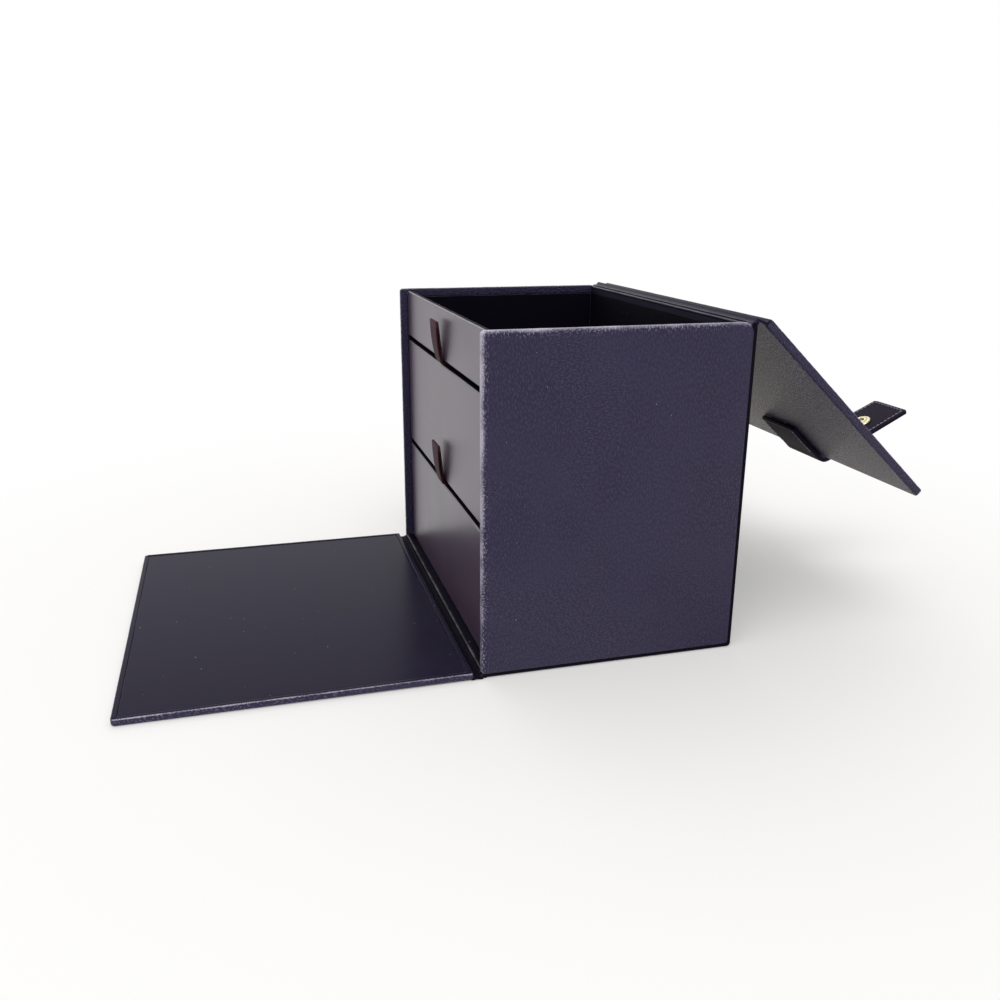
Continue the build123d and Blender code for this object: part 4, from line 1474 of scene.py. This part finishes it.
    def stitches(self, name, places, pitch):
        """Small rounded stitches, half sunk into the leather."""
        bm = bmesh.new()
        bm.loops.layers.uv.new("skin")
        for place, along, off in places:
            across = along.cross(off)
            rings = []
            for share, size in self.STITCH_RINGS:
                radius = self.STITCH_HALF_WIDTH * size
                middle = place + along * pitch * self.STITCH_SHARE * share
                middle = middle + off * (self.STITCH_RISE - self.STITCH_DIP * share * share)
                rings.append([
                    bm.verts.new(middle + across * cosine * radius + off * sine * radius)
                    for cosine, sine in circle(8)
                ])
            bridge(bm, rings)
            bm.faces.new(rings[0])
            bm.faces.new(rings[-1])
        mesh = bpy.data.meshes.new(name)
        write_mesh(bm, mesh, lambda loop: (loop.vert.co.x + loop.vert.co.z, loop.vert.co.y))
        return link_object(name, mesh)


class JEWELBOX_OT_frame_nodes(bpy.types.Operator):
    """Give the boards that stay inside the covers their own material"""

    bl_idname = "jewelbox.frame_nodes"
    bl_label = "Boards inside"

    def execute(self, context):
        for name, node in frame["nodes"].items():
            finish = "board"
            if name.endswith("_lining"):
                finish = "lining"
            if name == "stud_washer":
                finish = "brass"
            node.data.materials.clear()
            node.data.materials.append(finish_named(finish))
        return {"FINISHED"}


class JEWELBOX_OT_stage(bpy.types.Operator):
    """Set the floor, the soft light and the camera"""

    bl_idname = "jewelbox.stage"
    bl_label = "Stage"

    AZIMUTH = 74.23
    ELEVATION = 17.74
    ROLL = 0.34
    CAMERA = Vector((0.531974, -0.179436, 0.236574))
    LENS = 33.97
    SENSOR = 36.0
    AIM = Vector((0, 0, 0.08))
    AMBIENT = 0.62
    BACKDROP = 1.0
    LAMPS = (
        ("window lamp", (-1.3, 0.1, 1.15), 2.0, 9.0),
        ("overhead lamp", (0.75, -0.25, 1.7), 1.3, 13.0),
    )
    FLOOR_HALF = 6.0
    FLOOR_DROP = 0.0002
    # Floor as reflections see it: a painted shadow of SHADE round SHADE_MIDDLE, stretched by SHADE_FORM, and
    # a warm painted tint behind the box
    SHADE_MIDDLE = (-0.08, 0.10, 0)
    SHADE_FORM = (0.45, 1, 0)
    SHADE = (0.03, 0.027, 0.024)
    WARM_PAINTED_REFLECTION = (1, 0.96, 0.88)

    def execute(self, context):
        self.floor(context.scene.jewel_box_colours)
        self.light(context.scene)
        self.camera(context.scene)
        context.scene.view_settings.view_transform = "Standard"
        return {"FINISHED"}

    def floor(self, colours):
        """Pale table top: white to the camera further out and lightened by a painted glow over its shadow
        near the box; in reflections a glowing painted floor with a painted shadow behind the box.
        """
        mesh = bpy.data.meshes.new("table")
        bm = bmesh.new()
        bmesh.ops.create_grid(bm, x_segments=8, y_segments=8, size=self.FLOOR_HALF)
        bm.to_mesh(mesh)
        bm.free()
        table = link_object("table", mesh)
        table.location = (0, 0, -self.FLOOR_DROP)
        finish = Finish("pale cloth")
        table.data.materials.append(finish.material)
        tree = finish.tree
        place = add_node(tree, "ShaderNodeTexCoord").outputs["Object"]
        path = add_node(tree, "ShaderNodeLightPath").outputs
        cloud = noise_at(tree, place, 3.0, 3.0)
        tone = finish.mix(cloud, shades(colours.floor, 0.98), shades(colours.floor, 1.02))
        finish.made({"Base Color": tone, "Roughness": 0.9, "Specular IOR Level": 0.1})
        # Camera rays see at least 0.22 of white glow, painted light over the floor's shadow near the box,
        # rising to full white further out
        fade = smooth_step(tree, vector_node(tree, "LENGTH", place), 0.12, 0.55)
        painted_glow_share = math_node(tree, "MULTIPLY_ADD", fade, 0.78, 0.22)
        seen = math_node(tree, "MULTIPLY", painted_glow_share, path["Is Camera Ray"])
        # Glossy rays see a glowing painted floor: painted shadow behind the box, warm tint there, white
        # further out
        aside = vector_node(tree, "SUBTRACT", place, self.SHADE_MIDDLE)
        from_shade = vector_node(tree, "LENGTH", vector_node(tree, "MULTIPLY", aside, self.SHADE_FORM))
        apart = add_node(tree, "ShaderNodeSeparateXYZ", {0: place}).outputs
        cloth = finish.mix(smooth_step(tree, apart["Y"], 0.12, -0.05), self.WARM_PAINTED_REFLECTION, WHITE)
        shade = finish.mix(smooth_step(tree, from_shade, 0.05, 0.135), self.SHADE, cloth)
        glow = add_node(tree, "ShaderNodeEmission", {"Color": WHITE}).outputs[0]
        painted_reflection = add_node(tree, "ShaderNodeEmission", {"Color": shade}).outputs[0]
        plain = finish.shader.outputs[0]
        blended = add_node(tree, "ShaderNodeMixShader", {0: seen, 1: plain, 2: glow}).outputs[0]
        inputs = {0: path["Is Glossy Ray"], 1: blended, 2: painted_reflection}
        reflected = add_node(tree, "ShaderNodeMixShader", inputs).outputs[0]
        output = next(n for n in tree.nodes if n.type == "OUTPUT_MATERIAL")
        feed(tree, output.inputs["Surface"], reflected)

    def light(self, scene):
        """White surroundings and large soft lamps."""
        world = bpy.data.worlds.new("white room")
        scene.world = world
        world.use_nodes = True
        tree = world.node_tree
        tree.nodes.clear()
        inputs = {0: add_node(tree, "ShaderNodeLightPath").outputs["Is Camera Ray"]}
        for index, strength in ((1, self.AMBIENT), (2, self.BACKDROP)):
            background = add_node(tree, "ShaderNodeBackground", {"Color": WHITE, "Strength": strength})
            inputs[index] = background.outputs[0]
        surroundings = add_node(tree, "ShaderNodeMixShader", inputs).outputs[0]
        add_node(tree, "ShaderNodeOutputWorld", {0: surroundings})
        for name, place, size, power in self.LAMPS:
            data = bpy.data.lights.new(name, "AREA")
            data.shape = "SQUARE"
            data.size = size
            data.energy = power
            lamp = link_object(name, data)
            lamp.location = place
            lamp.rotation_mode = "QUATERNION"
            lamp.rotation_quaternion = (self.AIM - Vector(place)).to_track_quat("-Z", "Y")

    def camera(self, scene):
        """Camera at the photograph's viewing angle."""
        azimuth = math.radians(self.AZIMUTH)
        elevation = math.radians(self.ELEVATION)
        roll = math.radians(self.ROLL)
        level = math.cos(elevation)
        back = Vector((math.sin(azimuth) * level, -math.cos(azimuth) * level, math.sin(elevation)))
        right = Vector((math.cos(azimuth), math.sin(azimuth), 0))
        up = back.cross(right)
        across = right * math.cos(roll) + up * math.sin(roll)
        upright = up * math.cos(roll) - right * math.sin(roll)
        data = bpy.data.cameras.new("camera")
        data.lens = self.LENS
        data.sensor_width = self.SENSOR
        data.clip_start = 0.01
        camera = link_object("camera", data)
        camera.matrix_world = placed(self.CAMERA, across, upright, back)
        scene.camera = camera


class JEWELBOX_PT_sidebar(bpy.types.Panel):
    """Sidebar of the jewellery box"""

    bl_label = "Jewellery Box"
    bl_idname = "JEWELBOX_PT_sidebar"
    bl_space_type = "VIEW_3D"
    bl_region_type = "UI"
    bl_category = "Jewellery Box"

    def draw(self, context):
        layout = self.layout
        for operator in OPERATORS:
            layout.operator(operator.bl_idname)
        for group in (context.scene.jewel_box_sizes, context.scene.jewel_box_colours):
            column = layout.column()
            for name in group.__annotations__:
                column.prop(group, name)


OPERATORS = (
    JEWELBOX_OT_finishes, JEWELBOX_OT_frame_nodes, JEWELBOX_OT_walls, JEWELBOX_OT_case, JEWELBOX_OT_flap,
    JEWELBOX_OT_lid, JEWELBOX_OT_fronts, JEWELBOX_OT_drawers, JEWELBOX_OT_tabs, JEWELBOX_OT_strap,
    JEWELBOX_OT_stage,
)
CLASSES = (JewelBoxSizes, JewelBoxColours, *OPERATORS, JEWELBOX_PT_sidebar)


def register():
    """Registers the classes and the box's properties."""
    for entry in CLASSES:
        bpy.utils.register_class(entry)
    bpy.types.Scene.jewel_box_sizes = PointerProperty(type=JewelBoxSizes)
    bpy.types.Scene.jewel_box_colours = PointerProperty(type=JewelBoxColours)


def unregister():
    """Removes what register added."""
    del bpy.types.Scene.jewel_box_colours
    del bpy.types.Scene.jewel_box_sizes
    for entry in reversed(CLASSES):
        bpy.utils.unregister_class(entry)


def main():
    """Builds the whole box."""
    register()
    bpy.ops.jewelbox.finishes()
    bpy.ops.jewelbox.frame_nodes()
    bpy.ops.jewelbox.walls()
    bpy.ops.jewelbox.case()
    bpy.ops.jewelbox.flap()
    bpy.ops.jewelbox.lid()
    bpy.ops.jewelbox.fronts()
    bpy.ops.jewelbox.drawers()
    bpy.ops.jewelbox.tabs()
    bpy.ops.jewelbox.strap()
    bpy.ops.jewelbox.stage()


if __name__ == "__main__":
    main()
